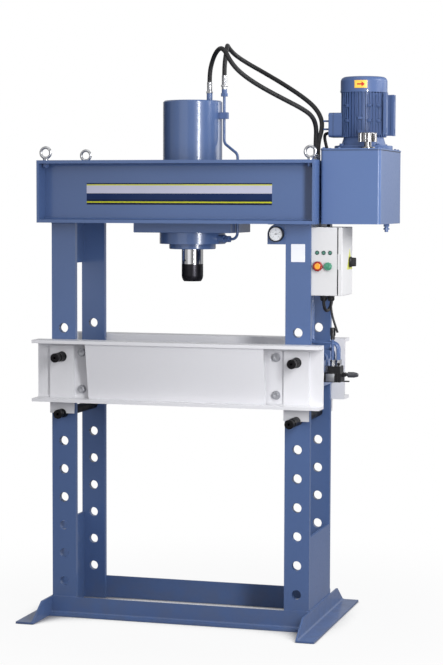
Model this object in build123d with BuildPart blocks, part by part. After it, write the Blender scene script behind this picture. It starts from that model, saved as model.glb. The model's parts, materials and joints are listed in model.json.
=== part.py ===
"""Hydraulic workshop press: a portal frame with a pinned table, a cylinder in the head, and a
motor, tank and hand valve on its right side. Millimetres, +Z up, the operator stands at -Y."""
import os
from math import atan2, cos, degrees, pi, radians, sin, sqrt, tan

from build123d import *

os.makedirs("parts", exist_ok=True)

# Frame of the model: the pieces are drawn round the ram's axis, and the whole is then moved
# so that the origin lies on the floor under the middle of the outline.
ram_axis_x = -108.5

# General clearances
moving_gap = 0.3
bearing_gap = 0.05
bolt_gap = 0.5

# Uprights, four flat bars with a row of pin holes
upright_width = 110.0
upright_thick = 25.0
clear_width = 950.0
upright_pitch_y = 380.0
hole_pitch = 125.0
hole_count = 10
first_hole_z = 150.0
pin_diameter = 40.0
pin_hole_gap = 0.5

# Rolled channels of the head and of the table
channel_height = 270.0
flange_width = 90.0
web_thick = 10.0
flange_thick = 14.0
root_radius = 12.0
toe_radius = 6.0

# Head
head_bottom = 1737.0
head_length = 1240.0
head_end_thick = 10.0
cross_plate_x = 180.0
cross_plate_thick = 20.0
cross_plate_height = 250.0

# Side plates between the uprights of one side
side_plate_thick = 10.0
lower_plate_height = 398.0
upper_plate_bottom = 1552.0

# Feet and base angles
foot_length = 880.0
foot_leg = 80.0
foot_top_length = 650.0
angle_thick = 8.0
front_angle_leg = 80.0
rear_angle_leg = 100.0
base_angle_width = 50.0

# Eye bolts on the head
eye_x = 592.0
eye_ring_diameter = 57.0
eye_bar_diameter = 12.0
eye_thread = 16.0
eye_collar_height = 7.0
eye_nut_width = 24.0
eye_nut_height = 13.0

# Cylinder
barrel_diameter = 260.0
bore_diameter = 200.0
cylinder_top = 2270.0
cap_thick = 45.0
mount_plate_width = 440.0
mount_plate_depth = 320.0
mount_plate_thick = 42.0
gland_diameter = 290.0
gland_thick = 50.0
gland_spigot = 30.0
gland_ring_diameter = 206.0
gland_ring_height = 23.0
rod_diameter = 95.0
piston_height = 60.0
piston_top_gap = 5.0
ram_nose_face = 1480.0
nose_height = 76.0
nose_tip_diameter = 76.0
nose_rounding = 28.0
nose_spigot_diameter = 50.0
nose_spigot_height = 25.0
set_screw_hole = 9.0
set_screw_above_nose = 16.0

# Ports of the cylinder
cap_port_x = 83.0
cap_port_y = -20.0
cap_port_diameter = 26.0
cap_port_height = 31.0
rod_port_angle = -19.4
rod_port_diameter = 36.0
rod_port_reach = 32.0
rod_port_z = 1668.0

# Hoses and pipes
hose_diameter = 20.0
ferrule_diameter = 23.0
ferrule_length = 40.0
hose_nut_width = 27.0
hose_nut_height = 9.0
pipe_diameter = 12.0
pipe_bend = 28.0
rod_pipe_x = 150.0
rod_pipe_y = -20.0
rod_pipe_top = 2287.0
rod_pipe_jog_top = 2085.0
rod_pipe_jog_bottom = 2035.0
rod_pipe_run = 40.0
rod_pipe_clearance = 2.0
pipe_nut_stack = 42.0
pipe_nut_width = 19.0
port_nut_height = 25.0
fitting_height = 26.0
clamp_z = 2190.0
clamp_height = 28.0
clamp_width = 32.0
column_pipe_x = 560.0
column_pipe_pitch = 40.0
column_pipe_top = 1985.0
column_nut_height = 30.0
column_jog_top = 1900.0
column_jog_bottom = 1810.0
column_run_pitch = 25.0
first_run_y = -120.0
high_exit_z = 1230.0
middle_exit_z = 1205.0
low_exit_z = 1180.0
tank_pipe_z = 1770.0
pipe_hole = 26.0

# Table
table_length = 1290.0
table_web_gap = 2.5
lower_pin_hole = 6
pin_edge_room = 30.0
table_above_pin = 55.0
bearing_plate_thick = 12.0
web_hole_gap = 3.0
cover_length = 800.0
cover_thick = 10.0
cover_inset = 8.0
cover_lean = 46.0
spacer_x = 440.0
spacer_diameter = 40.0
tie_bolt_diameter = 20.0
tie_bolt_head = 30.0
tie_bolt_head_height = 12.5
spacer_rise = 53.0
spacer_pitch_z = 162.0

# Pins
pin_length = 630.0
pin_shift_left = 35.0
pin_shift_right = -35.0
pin_groove_width = 10.0
pin_groove_depth = 3.0
pin_chamfer = 2.0
pin_groove_from_end = 34.0
pin_end_hole = 12.0
pin_end_hole_depth = 25.0

# Tank
tank_gap = 2.0
tank_width = 258.0
tank_depth = 450.0
tank_front_y = -195.0
tank_top = 2049.0
tank_bottom = 1737.0
tank_wall = 4.0
tank_corner = 14.0
lid_thick = 6.0
lid_overhang = 2.0
drain_x = 238.0
drain_y = 235.0
drain_hex = 22.0
drain_height = 12.0
lid_hole = 110.0
filler_x = 193.0
filler_y = 45.0
filler_flange = 60.0
filler_flange_thick = 6.0
filler_neck_diameter = 31.0
filler_bore = 24.0
filler_neck_height = 27.0
filler_below_lid = 20.0
filler_cap_diameter = 78.0
filler_cap_height = 39.0
filler_plug = 12.0
filler_lobe = 7.0
filler_lobe_count = 12
carrier_heights = (1835.0, 1970.0)
carrier_height = 50.0
carrier_length = 80.0
carrier_y = 125.0
carrier_wall = 4.0

# Pump inside the tank
pump_bell_diameter = 150.0
pump_bell_bore = 120.0
pump_bell_height = 100.0
pump_flange_thick = 10.0
pump_flange_rim = 20.0
pump_width = 90.0
pump_depth = 100.0
pump_height = 80.0
suction_diameter = 30.0
suction_height = 45.0
strainer_diameter = 70.0
strainer_height = 60.0

# Motor on the tank
motor_x = 135.0
motor_y = 235.0
bell_flare = 12.0
fin_root = 4.0
end_shield_thick = 14.0
rotor_air_gap = 0.5
rotor_end_gap = 12.0
shaft_below_lid = 60.0
coupling_diameter = 60.0
coupling_height = 50.0
fan_above_shield = 5.0
fan_hub_wall = 8.0
fan_hub_height = 24.0
fan_radius = 85.0
fan_blade_count = 8
fan_blade = 3.0
motor_foot_pitch = 150.0
motor_foot_reach = 118.0
motor_foot_web = 10.0
motor_foot_width = 42.0
motor_foot_thick = 12.0
motor_foot_length = 176.0
motor_foot_rise = 8.0
motor_foot_hole = 12.0
motor_foot_hole_pitch = 140.0
motor_flange_diameter = 250.0
motor_flange_thick = 16.0
bell_height = 37.0
bell_diameter = 170.0
housing_diameter = 176.0
housing_height = 200.0
fin_count = 40
fin_height = 10.0
fin_thick = 3.0
stator_bore = 100.0
cowl_height = 67.0
cowl_wall = 2.0
cowl_lap = 10.0
cowl_shoulder = 20.0
cowl_slot = 6.0
cowl_slot_length = 18.0
shaft_diameter = 28.0
box_width = 47.0
box_saddle = 14.0
box_depth = 100.0
box_height = 105.0

# Electric cabinet on the right column
cabinet_bottom = 1434.0
cabinet_height = 290.0
cabinet_depth = 200.0
cabinet_front_y = -190.0
cabinet_box = 112.0
cabinet_wall = 2.0
cabinet_corner = 3.0
door_gap = 2.0
door_thick = 19.0
door_wall = 2.0
hinge_from_edge = 70.0
hinge_pin = 4.0
hinge_barrel = 9.0
hinge_height = 30.0
hinge_clear = 0.6
latch_height = 65.0
latch_above_bottom = 111.0
switch_above_bottom = 140.0
switch_from_front = 144.0
switch_knob = 45.0
switch_disc_thick = 8.0
switch_grip_width = 14.0
switch_grip_height = 18.0
switch_shaft = 8.0
switch_stand_off = 2.0
lamp_diameter = 18.0
lamp_pitch = 28.0
lamp_first = 25.0
lamp_above_bottom = 182.0
button_above_bottom = 125.0
button_bezel = 30.0
button_bezel_thick = 4.0
button_stem = 22.0
button_travel = 4.0
button_barrel_wall = 1.5
button_barrel_length = 16.0
stop_from_column = 30.0
stop_diameter = 42.0
stop_head = 12.0
start_from_column = 74.0
start_diameter = 35.0
start_head = 7.0
gland_first = 33.0
gland_pitch = 32.0
gland_from_front = 90.0
gland_hex = 28.0
gland_hex_height = 8.0
gland_dome = 24.0
gland_dome_height = 12.0
gland_stub = 20.0
gland_lock_nut = 26.0
gland_lock_nut_height = 5.0
conduit_diameter = 14.0
supply_cable_diameter = 10.0
box_gland_height = 10.0
box_gland_rise = 20.0
box_gland_offset = 30.0

# Gauge beside the cylinder
gauge_plate_width = 80.0
gauge_plate_height = 87.0
gauge_plate_thick = 8.0
gauge_plate_corner = 45.0
gauge_below_head = 43.0
gauge_from_column = 37.0
gauge_diameter = 64.0
gauge_depth = 28.0
gauge_wall = 3.0
gauge_dial_recess = 6.0
gauge_stem = 14.0
gauge_stem_length = 24.0
needle_length = 22.0
needle_tail = 8.0
needle_thick = 1.0
needle_hub = 6.0
needle_spindle = 2.5
spindle_depth = 6.0

# Hand valve on the right column
valve_plate_thick = 8.0
valve_plate_height = 110.0
valve_plate_bottom = 1030.0
valve_x = 663.0
valve_y = -112.5
valve_depth = 75.0
valve_bottom = 1064.0
valve_height = 40.0
valve_foot_height = 32.0
valve_left = 605.0
valve_right = 706.0
valve_top_left = 650.0
valve_top_right = 702.0
valve_top_height = 28.0
valve_port_pitch_x = 22.0
valve_port_pitch_y = 30.0
valve_pad_width = 38.0
valve_pad_height = 34.0
valve_pad_thick = 3.0
valve_groove = 3.0
lever_pivot_from_body = 10.0
lever_pivot_rise = 31.0
lever_pin = 6.0
lever_hub = 18.0
lever_hub_width = 14.0
lever_fork_thick = 5.0
lever_fork_gap = 0.5
lever_neck = 14.0
lever_diameter = 24.0
lever_grip_start = 12.0
lever_grip_length = 46.0
inlet_x = 632.0
inlet_y = -92.0

# Pressure switch on a riser pipe of the valve
switch_body_diameter = 24.0
switch_body_bottom = 1245.0
switch_body_height = 51.0

# Worked out from the sizes above
upright_x = (clear_width + upright_width) / 2
upright_y = upright_pitch_y / 2
outer_x = clear_width / 2 + upright_width
outer_y = upright_y + upright_thick / 2
inner_y = upright_y - upright_thick / 2
head_top = head_bottom + channel_height
lower_pin_z = first_hole_z + lower_pin_hole * hole_pitch
pin_room = table_above_pin + channel_height - flange_thick - root_radius - pin_edge_room
upper_pin_z = lower_pin_z + int(pin_room // hole_pitch) * hole_pitch
table_bottom = lower_pin_z + table_above_pin
table_top = table_bottom + channel_height
table_web_y = outer_y + table_web_gap
mount_plate_bottom = head_bottom - mount_plate_thick
gland_bottom = mount_plate_bottom - gland_thick
cap_bottom = cylinder_top - cap_thick
tank_left = head_length / 2 + tank_gap
lid_top = tank_top + lid_thick
motor_axis_x = tank_left + motor_x
motor_axis_y = tank_front_y + motor_y
housing_bottom = lid_top + motor_flange_thick + bell_height
housing_top = housing_bottom + housing_height
front_and_rear = (("front", -1), ("rear", 1))
left_and_right = (("left", -1), ("right", 1))


def save(piece, label):
    """Moves a finished piece to the frame of the model, names it and writes its file."""
    placed = piece.moved(Location((ram_axis_x, 0, 0)))
    placed.label = label
    export_step(placed, f"parts/{label}.step")


def outward_plane(side, y, z):
    """Plane across the press whose first axis points out of the frame, on one side of it."""
    return Plane(origin=(0, side * y, z), x_dir=(0, side, 0), z_dir=(side, 0, 0))


def channel_profile():
    """Rolled channel with its web at the origin and its flanges pointing along +X."""
    inside_height = channel_height - 2 * flange_thick
    Rectangle(flange_width, channel_height, align=(Align.MIN, Align.CENTER))
    with Locations((web_thick, 0)):
        Rectangle(
            flange_width - web_thick, inside_height, align=(Align.MIN, Align.CENTER), mode=Mode.SUBTRACT
        )


def inner_corners(sketch):
    """Corners of the channel between web and flanges, and those at the flanges' tips."""
    corners = sketch.vertices().filter_by(lambda v: abs(abs(v.Y) - channel_height / 2 + flange_thick) < 0.1)
    return corners.group_by(Axis.X)[0], corners.group_by(Axis.X)[-1]


def channel(side, web_y, length, z_middle):
    """Channel along X, its web's inner face at web_y, its flanges pointing out of the frame."""
    with BuildPart() as beam:
        with BuildSketch(outward_plane(side, web_y, z_middle)) as profile:
            channel_profile()
            roots, toes = inner_corners(profile)
            fillet(roots, root_radius)
            fillet(toes, toe_radius)
        extrude(amount=length / 2, both=True)
    return beam.part


def tube(points, diameter, radii):
    """Round bar or pipe through hand-chosen points, with an arc at each corner."""
    with BuildPart() as pipe:
        with BuildLine() as route:
            FilletPolyline(*points, radius=radii)
        path = route.wire()
        with BuildSketch(Plane(origin=path @ 0, z_dir=path % 0)):
            Circle(diameter / 2)
        sweep(path=path)
    expected = pi * diameter**2 / 4 * path.length
    print(f"tube of {path.length:.0f} mm, volume {pipe.part.volume / expected:.4f} of section times length")
    return pipe


def largest_radii(points):
    """Radius of each corner of a free hose, as large as its two runs allow."""
    radii = []
    for before, corner, after in zip(points, points[1:], points[2:]):
        run_in = Vector(*corner) - Vector(*before)
        run_out = Vector(*after) - Vector(*corner)
        half_turn = radians(run_in.get_angle(run_out)) / 2
        radii.append(0.45 * min(run_in.length, run_out.length) / tan(half_turn))
    print("hose radii", [round(r) for r in radii])
    return radii


# Uprights
for depth_name, depth_side in front_and_rear:
    for side_name, side in left_and_right:
        with BuildPart() as upright:
            with BuildSketch(Plane.XZ.offset(-depth_side * upright_y)):
                with Locations((side * upright_x, head_top / 2)):
                    Rectangle(upright_width, head_top)
                with Locations(*[(side * upright_x, first_hole_z + k * hole_pitch) for k in range(hole_count)]):
                    Circle(pin_diameter / 2 + pin_hole_gap, mode=Mode.SUBTRACT)
            extrude(amount=upright_thick / 2, both=True)
        save(upright.part, f"upright_{depth_name}_{side_name}")

# Side plates, flush with the outer edges of the uprights, the right one with two pipe holes
side_plate_x = outer_x - side_plate_thick / 2
upper_plate_height = head_top - upper_plate_bottom
with BuildPart() as side_plates:
    for side in (-1, 1):
        with Locations((side * side_plate_x, 0, 0)):
            Box(side_plate_thick, 2 * inner_y, lower_plate_height, align=(Align.CENTER, Align.CENTER, Align.MIN))
        with Locations((side * side_plate_x, 0, upper_plate_bottom)):
            Box(side_plate_thick, 2 * inner_y, upper_plate_height, align=(Align.CENTER, Align.CENTER, Align.MIN))
    with BuildSketch(Plane.YZ.offset(outer_x)):
        with Locations(*[(y, tank_pipe_z) for y in (first_run_y, first_run_y + 3 * column_run_pitch)]):
            Circle(pipe_hole / 2)
    extrude(amount=-2 * side_plate_thick, mode=Mode.SUBTRACT)
save(side_plates.part, "side_plates")

# Feet, angle bars whose upright legs are cut to a slope at both ends
for side_name, side in left_and_right:
    with BuildPart() as foot:
        with BuildSketch(Plane.XZ):
            with BuildLine():
                Polyline(
                    (side * outer_x, 0),
                    (side * (outer_x + foot_leg), 0),
                    (side * (outer_x + foot_leg), angle_thick),
                    (side * (outer_x + angle_thick), angle_thick),
                    (side * (outer_x + angle_thick), foot_leg),
                    (side * outer_x, foot_leg),
                    close=True,
                )
            make_face()
        extrude(amount=foot_length / 2, both=True)
        root_edge = foot.edges().filter_by(Axis.Y).sort_by_distance(
            (side * (outer_x + angle_thick), 0, angle_thick)
        )[0]
        fillet(root_edge, angle_thick)
        with BuildSketch(Plane.YZ.offset(side * outer_x)):
            for end in (-1, 1):
                with BuildLine():
                    Polyline(
                        (end * foot_top_length / 2, foot_leg),
                        (end * foot_length / 2, angle_thick),
                        (end * foot_length / 2, foot_leg),
                        close=True,
                    )
                make_face()
        extrude(amount=side * 2 * angle_thick, mode=Mode.SUBTRACT)
    save(foot.part, f"foot_{side_name}")

# Base angles that tie the uprights at the floor, the rear one with the taller leg
with BuildPart() as base_angles:
    for depth_side, leg in ((-1, front_angle_leg), (1, rear_angle_leg)):
        with BuildSketch(outward_plane(depth_side, outer_y, 0)):
            with BuildLine():
                Polyline(
                    (0, 0),
                    (base_angle_width, 0),
                    (base_angle_width, angle_thick),
                    (angle_thick, angle_thick),
                    (angle_thick, leg),
                    (0, leg),
                    close=True,
                )
            make_face()
        extrude(amount=outer_x, both=True)
        root_edge = base_angles.edges().filter_by(Axis.X).sort_by_distance(
            (0, depth_side * (outer_y + angle_thick), angle_thick)
        )[0]
        fillet(root_edge, angle_thick)
save(base_angles.part, "base_angles")

# Head channels
eye_y = outer_y + (web_thick + flange_width) / 2
for depth_name, depth_side in front_and_rear:
    bare_channel = channel(depth_side, outer_y, head_length, (head_bottom + head_top) / 2)
    with BuildPart() as head_channel:
        add(bare_channel)
        with Locations(*[(side * eye_x, depth_side * eye_y, head_top) for side in (-1, 1)]):
            Cylinder(eye_thread / 2 + bolt_gap, 3 * flange_thick, mode=Mode.SUBTRACT)
    save(head_channel.part, f"head_channel_{depth_name}")

# Ribs of the head: end plates between the flanges, and two cross plates over the cylinder
inside_height = channel_height - 2 * flange_thick
end_plate_depth = flange_width - web_thick
with BuildPart() as head_ribs:
    for side in (-1, 1):
        for depth_side in (-1, 1):
            with BuildSketch(Plane.YZ.offset(side * (head_length - head_end_thick) / 2)) as end_plate:
                with Locations((depth_side * (outer_y + web_thick + end_plate_depth / 2), (head_bottom + head_top) / 2)):
                    Rectangle(end_plate_depth, inside_height)
                chamfer(end_plate.vertices().sort_by(lambda v: abs(v.X))[:2], root_radius)
            extrude(amount=head_end_thick / 2, both=True)
        with Locations((side * cross_plate_x, 0, head_bottom)):
            Box(cross_plate_thick, 2 * outer_y, cross_plate_height, align=(Align.CENTER, Align.CENTER, Align.MIN))
save(head_ribs.part, "head_ribs")

# Eye bolts with a collar, and their nuts under the flange
eye_center_z = head_top + eye_collar_height + eye_ring_diameter / 2 - 2.5
eye_shank_bottom = head_top - flange_thick - eye_nut_height - 4
with BuildPart() as eye_bolts:
    for side in (-1, 1):
        for depth_side in (-1, 1):
            with Locations(Location((side * eye_x, depth_side * eye_y, eye_center_z), (90, 0, 0))):
                Torus((eye_ring_diameter - eye_bar_diameter) / 2, eye_bar_diameter / 2)
            with BuildSketch(Plane.XY.offset(head_top)):
                with Locations((side * eye_x, depth_side * eye_y)):
                    Circle(eye_bar_diameter)
            extrude(amount=eye_collar_height)
            with BuildSketch(Plane.XY.offset(eye_shank_bottom)):
                with Locations((side * eye_x, depth_side * eye_y)):
                    Circle(eye_thread / 2)
            extrude(until=Until.NEXT)
            with BuildSketch(Plane.XY.offset(head_top - flange_thick - eye_nut_height)):
                with Locations((side * eye_x, depth_side * eye_y)):
                    RegularPolygon(eye_nut_width / 2, 6, major_radius=False)
                    Circle(eye_thread / 2 + bearing_gap, mode=Mode.SUBTRACT)
            extrude(amount=eye_nut_height)
save(eye_bolts.part, "eye_bolts")

# Mount plate under the cross plates, with the barrel through its bore
with BuildPart() as cylinder_mount_plate:
    with BuildSketch(Plane.XY.offset(mount_plate_bottom)):
        Rectangle(mount_plate_width, mount_plate_depth)
        Circle(barrel_diameter / 2 + moving_gap, mode=Mode.SUBTRACT)
    extrude(amount=mount_plate_thick)
    chamfer(cylinder_mount_plate.faces().sort_by(Axis.Z)[0].outer_wire().edges(), 2)
save(cylinder_mount_plate.part, "cylinder_mount_plate")

# Barrel, standing on the gland's flange
with BuildPart() as cylinder_barrel:
    with BuildSketch(Plane.XY.offset(mount_plate_bottom)):
        Circle(barrel_diameter / 2)
        Circle(bore_diameter / 2, mode=Mode.SUBTRACT)
    extrude(amount=cap_bottom - mount_plate_bottom)
save(cylinder_barrel.part, "cylinder_barrel")

# Cap of the cylinder with its port boss
with BuildPart() as cylinder_cap:
    with BuildSketch(Plane.XY.offset(cap_bottom)):
        Circle(barrel_diameter / 2)
    extrude(amount=cap_thick)
    chamfer(cylinder_cap.faces().sort_by(Axis.Z)[-1].edges(), 6)
    with BuildSketch(Plane.XY.offset(cylinder_top)):
        with Locations((cap_port_x, cap_port_y)):
            Circle(cap_port_diameter / 2)
    extrude(amount=cap_port_height)
    with BuildSketch(Plane.XY.offset(cylinder_top + cap_port_height)):
        with Locations((cap_port_x, cap_port_y)):
            Circle(pipe_diameter / 2)
    extrude(amount=-(cap_port_height + cap_thick), mode=Mode.SUBTRACT)
save(cylinder_cap.part, "cylinder_cap")

# Gland with its spigot in the bore, the rod's guide and the lower port
rod_port = Plane(
    origin=(0, 0, rod_port_z),
    z_dir=(cos(radians(rod_port_angle)), sin(radians(rod_port_angle)), 0),
)
with BuildPart() as cylinder_gland:
    with BuildSketch(Plane.XZ):
        with BuildLine():
            Polyline(
                (rod_diameter / 2 + bearing_gap, gland_bottom - gland_ring_height),
                (gland_ring_diameter / 2 - 3, gland_bottom - gland_ring_height),
                (gland_ring_diameter / 2, gland_bottom - gland_ring_height + 3),
                (gland_ring_diameter / 2, gland_bottom),
                (gland_diameter / 2, gland_bottom),
                (gland_diameter / 2, mount_plate_bottom),
                (bore_diameter / 2 - bearing_gap, mount_plate_bottom),
                (bore_diameter / 2 - bearing_gap, mount_plate_bottom + gland_spigot),
                (rod_diameter / 2 + bearing_gap, mount_plate_bottom + gland_spigot),
                close=True,
            )
        make_face()
    revolve(axis=Axis.Z)
    with BuildSketch(rod_port.offset(rod_diameter)):
        Circle(rod_port_diameter / 2)
    extrude(amount=gland_diameter / 2 + rod_port_reach - rod_diameter)
save(cylinder_gland.part, "cylinder_gland")

# Ram, piston and rod in one, with a spigot for the nose
ram_seat_z = ram_nose_face + nose_height
piston_top = cap_bottom - piston_top_gap
with BuildPart() as ram:
    with BuildSketch(Plane.XZ):
        with BuildLine():
            Polyline(
                (0, ram_seat_z - nose_spigot_height),
                (nose_spigot_diameter / 2, ram_seat_z - nose_spigot_height),
                (nose_spigot_diameter / 2, ram_seat_z),
                (rod_diameter / 2, ram_seat_z),
                (rod_diameter / 2, piston_top - piston_height),
                (bore_diameter / 2 - bearing_gap, piston_top - piston_height),
                (bore_diameter / 2 - bearing_gap, piston_top),
                (0, piston_top),
                close=True,
            )
        make_face()
    revolve(axis=Axis.Z)
    with BuildSketch(Plane(origin=(0, 0, ram_seat_z + set_screw_above_nose), z_dir=(-1, -2, 0))):
        Circle(set_screw_hole / 2)
    extrude(amount=rod_diameter, mode=Mode.SUBTRACT)
save(ram.part, "ram")

# Nose of the ram, rounded down to its flat face
nose_round_z = ram_nose_face + nose_rounding
with BuildPart() as ram_nose:
    with BuildSketch(Plane.XZ):
        with BuildLine():
            Polyline(
                (nose_tip_diameter / 2, ram_nose_face),
                (0, ram_nose_face),
                (0, ram_seat_z - nose_spigot_height - 1),
                (nose_spigot_diameter / 2 + bearing_gap, ram_seat_z - nose_spigot_height - 1),
                (nose_spigot_diameter / 2 + bearing_gap, ram_seat_z),
                (rod_diameter / 2, ram_seat_z),
                (rod_diameter / 2, nose_round_z),
            )
            ThreePointArc(
                (rod_diameter / 2, nose_round_z),
                (rod_diameter / 2 - 2.6, ram_nose_face + 12),
                (nose_tip_diameter / 2, ram_nose_face),
            )
        make_face()
    revolve(axis=Axis.Z)
save(ram_nose.part, "ram_nose")

# Hoses from the cylinder's two ports into the right column
cap_hose_start = cylinder_top + cap_port_height + hose_nut_height + ferrule_length
rod_hose_start = rod_pipe_top + pipe_nut_stack + hose_nut_height + ferrule_length
column_hose_end = column_pipe_top + hose_nut_height + ferrule_length
cap_hose_points = [
    (cap_port_x, cap_port_y, cap_hose_start),
    (cap_port_x, cap_port_y, 2389),
    (97, -33, 2436),
    (124, -67, 2474),
    (163, -124, 2491),
    (197, -169, 2471),
    (222, -194, 2433),
    (254, -195, 2392),
    (297, -167, 2353),
    (363, -151, 2311),
    (446, -130, 2266),
    (520, -109, 2227),
    (558, -74, 2196),
    (567, -39, 2151),
    (column_pipe_x, -column_pipe_pitch / 2, 2091),
    (column_pipe_x, -column_pipe_pitch / 2, column_hose_end),
]
rod_hose_points = [
    (rod_pipe_x, rod_pipe_y, rod_hose_start),
    (rod_pipe_x, rod_pipe_y, 2419),
    (151, -3, 2467),
    (146, 33, 2502),
    (135, 78, 2517),
    (127, 125, 2509),
    (138, 176, 2484),
    (182, 215, 2450),
    (265, 215, 2404),
    (379, 130, 2345),
    (472, 105, 2287),
    (531, 80, 2242),
    (566, 60, 2193),
    (574, 40, 2145),
    (column_pipe_x, column_pipe_pitch / 2, 2084),
    (column_pipe_x, column_pipe_pitch / 2, column_hose_end),
]
cap_hose = tube(cap_hose_points, hose_diameter, largest_radii(cap_hose_points))
save(cap_hose.part, "cap_hose")
rod_hose = tube(rod_hose_points, hose_diameter, largest_radii(rod_hose_points))
save(rod_hose.part, "rod_hose")

# Swaged ends of the hoses, each a nut and a ferrule
with BuildPart() as hose_ends:
    for x, y, seat_z in (
        (cap_port_x, cap_port_y, cylinder_top + cap_port_height),
        (rod_pipe_x, rod_pipe_y, rod_pipe_top + pipe_nut_stack),
        (column_pipe_x, -column_pipe_pitch / 2, column_pipe_top),
        (column_pipe_x, column_pipe_pitch / 2, column_pipe_top),
    ):
        with BuildSketch(Plane.XY.offset(seat_z)):
            with Locations((x, y)):
                RegularPolygon(hose_nut_width / 2, 6, major_radius=False, rotation=30)
        extrude(amount=hose_nut_height)
        with BuildSketch(Plane.XY.offset(seat_z + hose_nut_height)):
            with Locations((x, y)):
                Circle(ferrule_diameter / 2)
        extrude(amount=ferrule_length)
save(hose_ends.part, "hose_ends")

# Steel pipe down the barrel to the lower port
port_reach = gland_diameter / 2 + rod_port_reach + port_nut_height
port_x = port_reach * cos(radians(rod_port_angle))
port_y = port_reach * sin(radians(rod_port_angle))
pipe_beside_plate = mount_plate_width / 2 + rod_pipe_clearance + pipe_diameter / 2
pipe_turn_reach = max(port_reach + rod_pipe_run, pipe_beside_plate / cos(radians(rod_port_angle)))
pipe_turn_x = pipe_turn_reach * cos(radians(rod_port_angle))
pipe_turn_y = pipe_turn_reach * sin(radians(rod_port_angle))
rod_pipe_points = [
    (rod_pipe_x, rod_pipe_y, rod_pipe_top),
    (rod_pipe_x, rod_pipe_y, rod_pipe_jog_top),
    (pipe_turn_x, pipe_turn_y, rod_pipe_jog_bottom),
    (pipe_turn_x, pipe_turn_y, rod_port_z),
    (port_x, port_y, rod_port_z),
]
rod_side_pipe = tube(rod_pipe_points, pipe_diameter, pipe_bend)
save(rod_side_pipe.part, "rod_side_pipe")

# Pipes inside the right column, two from the hoses and two from the tank, out to the valve
valve_top = valve_bottom + valve_height + valve_top_height
port_left_x = (valve_top_left + valve_top_right - valve_port_pitch_x) / 2
port_right_x = port_left_x + valve_port_pitch_x
port_front_y = valve_y - valve_port_pitch_y / 2
port_rear_y = valve_y + valve_port_pitch_y / 2
fitting_top = valve_top + fitting_height
column_nut_bottom = column_pipe_top - column_nut_height
tank_nut_x = tank_left - fitting_height
inlet_top = valve_bottom + valve_height + fitting_height
front_run_y, second_run_y, third_run_y, rear_run_y = [
    first_run_y + k * column_run_pitch for k in range(4)
]
return_points = [
    (tank_nut_x, front_run_y, tank_pipe_z),
    (column_pipe_x, front_run_y, tank_pipe_z),
    (column_pipe_x, front_run_y, high_exit_z),
    (port_right_x, port_front_y, high_exit_z),
    (port_right_x, port_front_y, fitting_top),
]
cap_side_points = [
    (column_pipe_x, -column_pipe_pitch / 2, column_nut_bottom),
    (column_pipe_x, -column_pipe_pitch / 2, column_jog_top),
    (column_pipe_x, second_run_y, column_jog_bottom),
    (column_pipe_x, second_run_y, middle_exit_z),
    (port_left_x, port_rear_y, middle_exit_z),
    (port_left_x, port_rear_y, fitting_top),
]
rod_side_points = [
    (column_pipe_x, column_pipe_pitch / 2, column_nut_bottom),
    (column_pipe_x, column_pipe_pitch / 2, column_jog_top),
    (column_pipe_x, third_run_y, column_jog_bottom),
    (column_pipe_x, third_run_y, high_exit_z),
    (port_right_x, port_rear_y, high_exit_z),
    (port_right_x, port_rear_y, fitting_top),
]
pressure_points = [
    (tank_nut_x, rear_run_y, tank_pipe_z),
    (column_pipe_x, rear_run_y, tank_pipe_z),
    (column_pipe_x, rear_run_y, low_exit_z),
    (inlet_x, inlet_y, low_exit_z),
    (inlet_x, inlet_y, inlet_top),
]
return_pipe = tube(return_points, pipe_diameter, pipe_bend)
cap_side_pipe = tube(cap_side_points, pipe_diameter, pipe_bend)
rod_side_column_pipe = tube(rod_side_points, pipe_diameter, pipe_bend)
pressure_pipe = tube(pressure_points, pipe_diameter, pipe_bend)
with BuildPart() as valve_pipes:
    add(return_pipe.part)
    add(cap_side_pipe.part)
    add(rod_side_column_pipe.part)
    add(pressure_pipe.part)
    with BuildSketch(Plane.XY.offset(fitting_top)):
        with Locations((port_left_x, port_front_y)):
            Circle(pipe_diameter / 2)
    extrude(amount=switch_body_bottom - fitting_top)
save(valve_pipes.part, "valve_pipes")

# Pressure switch on the valve's riser pipe
with BuildPart() as pressure_switch:
    with BuildSketch(Plane.XY.offset(switch_body_bottom)):
        with Locations((port_left_x, port_front_y)):
            Circle(switch_body_diameter / 2 - 3)
    extrude(amount=switch_body_height / 2)
    with BuildSketch(Plane.XY.offset(switch_body_bottom + switch_body_height / 3)):
        with Locations((port_left_x, port_front_y)):
            Circle(switch_body_diameter / 2)
    extrude(amount=switch_body_height * 2 / 3)
    chamfer(pressure_switch.faces().sort_by(Axis.Z)[-1].edges(), 2)
save(pressure_switch.part, "pressure_switch")

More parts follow.
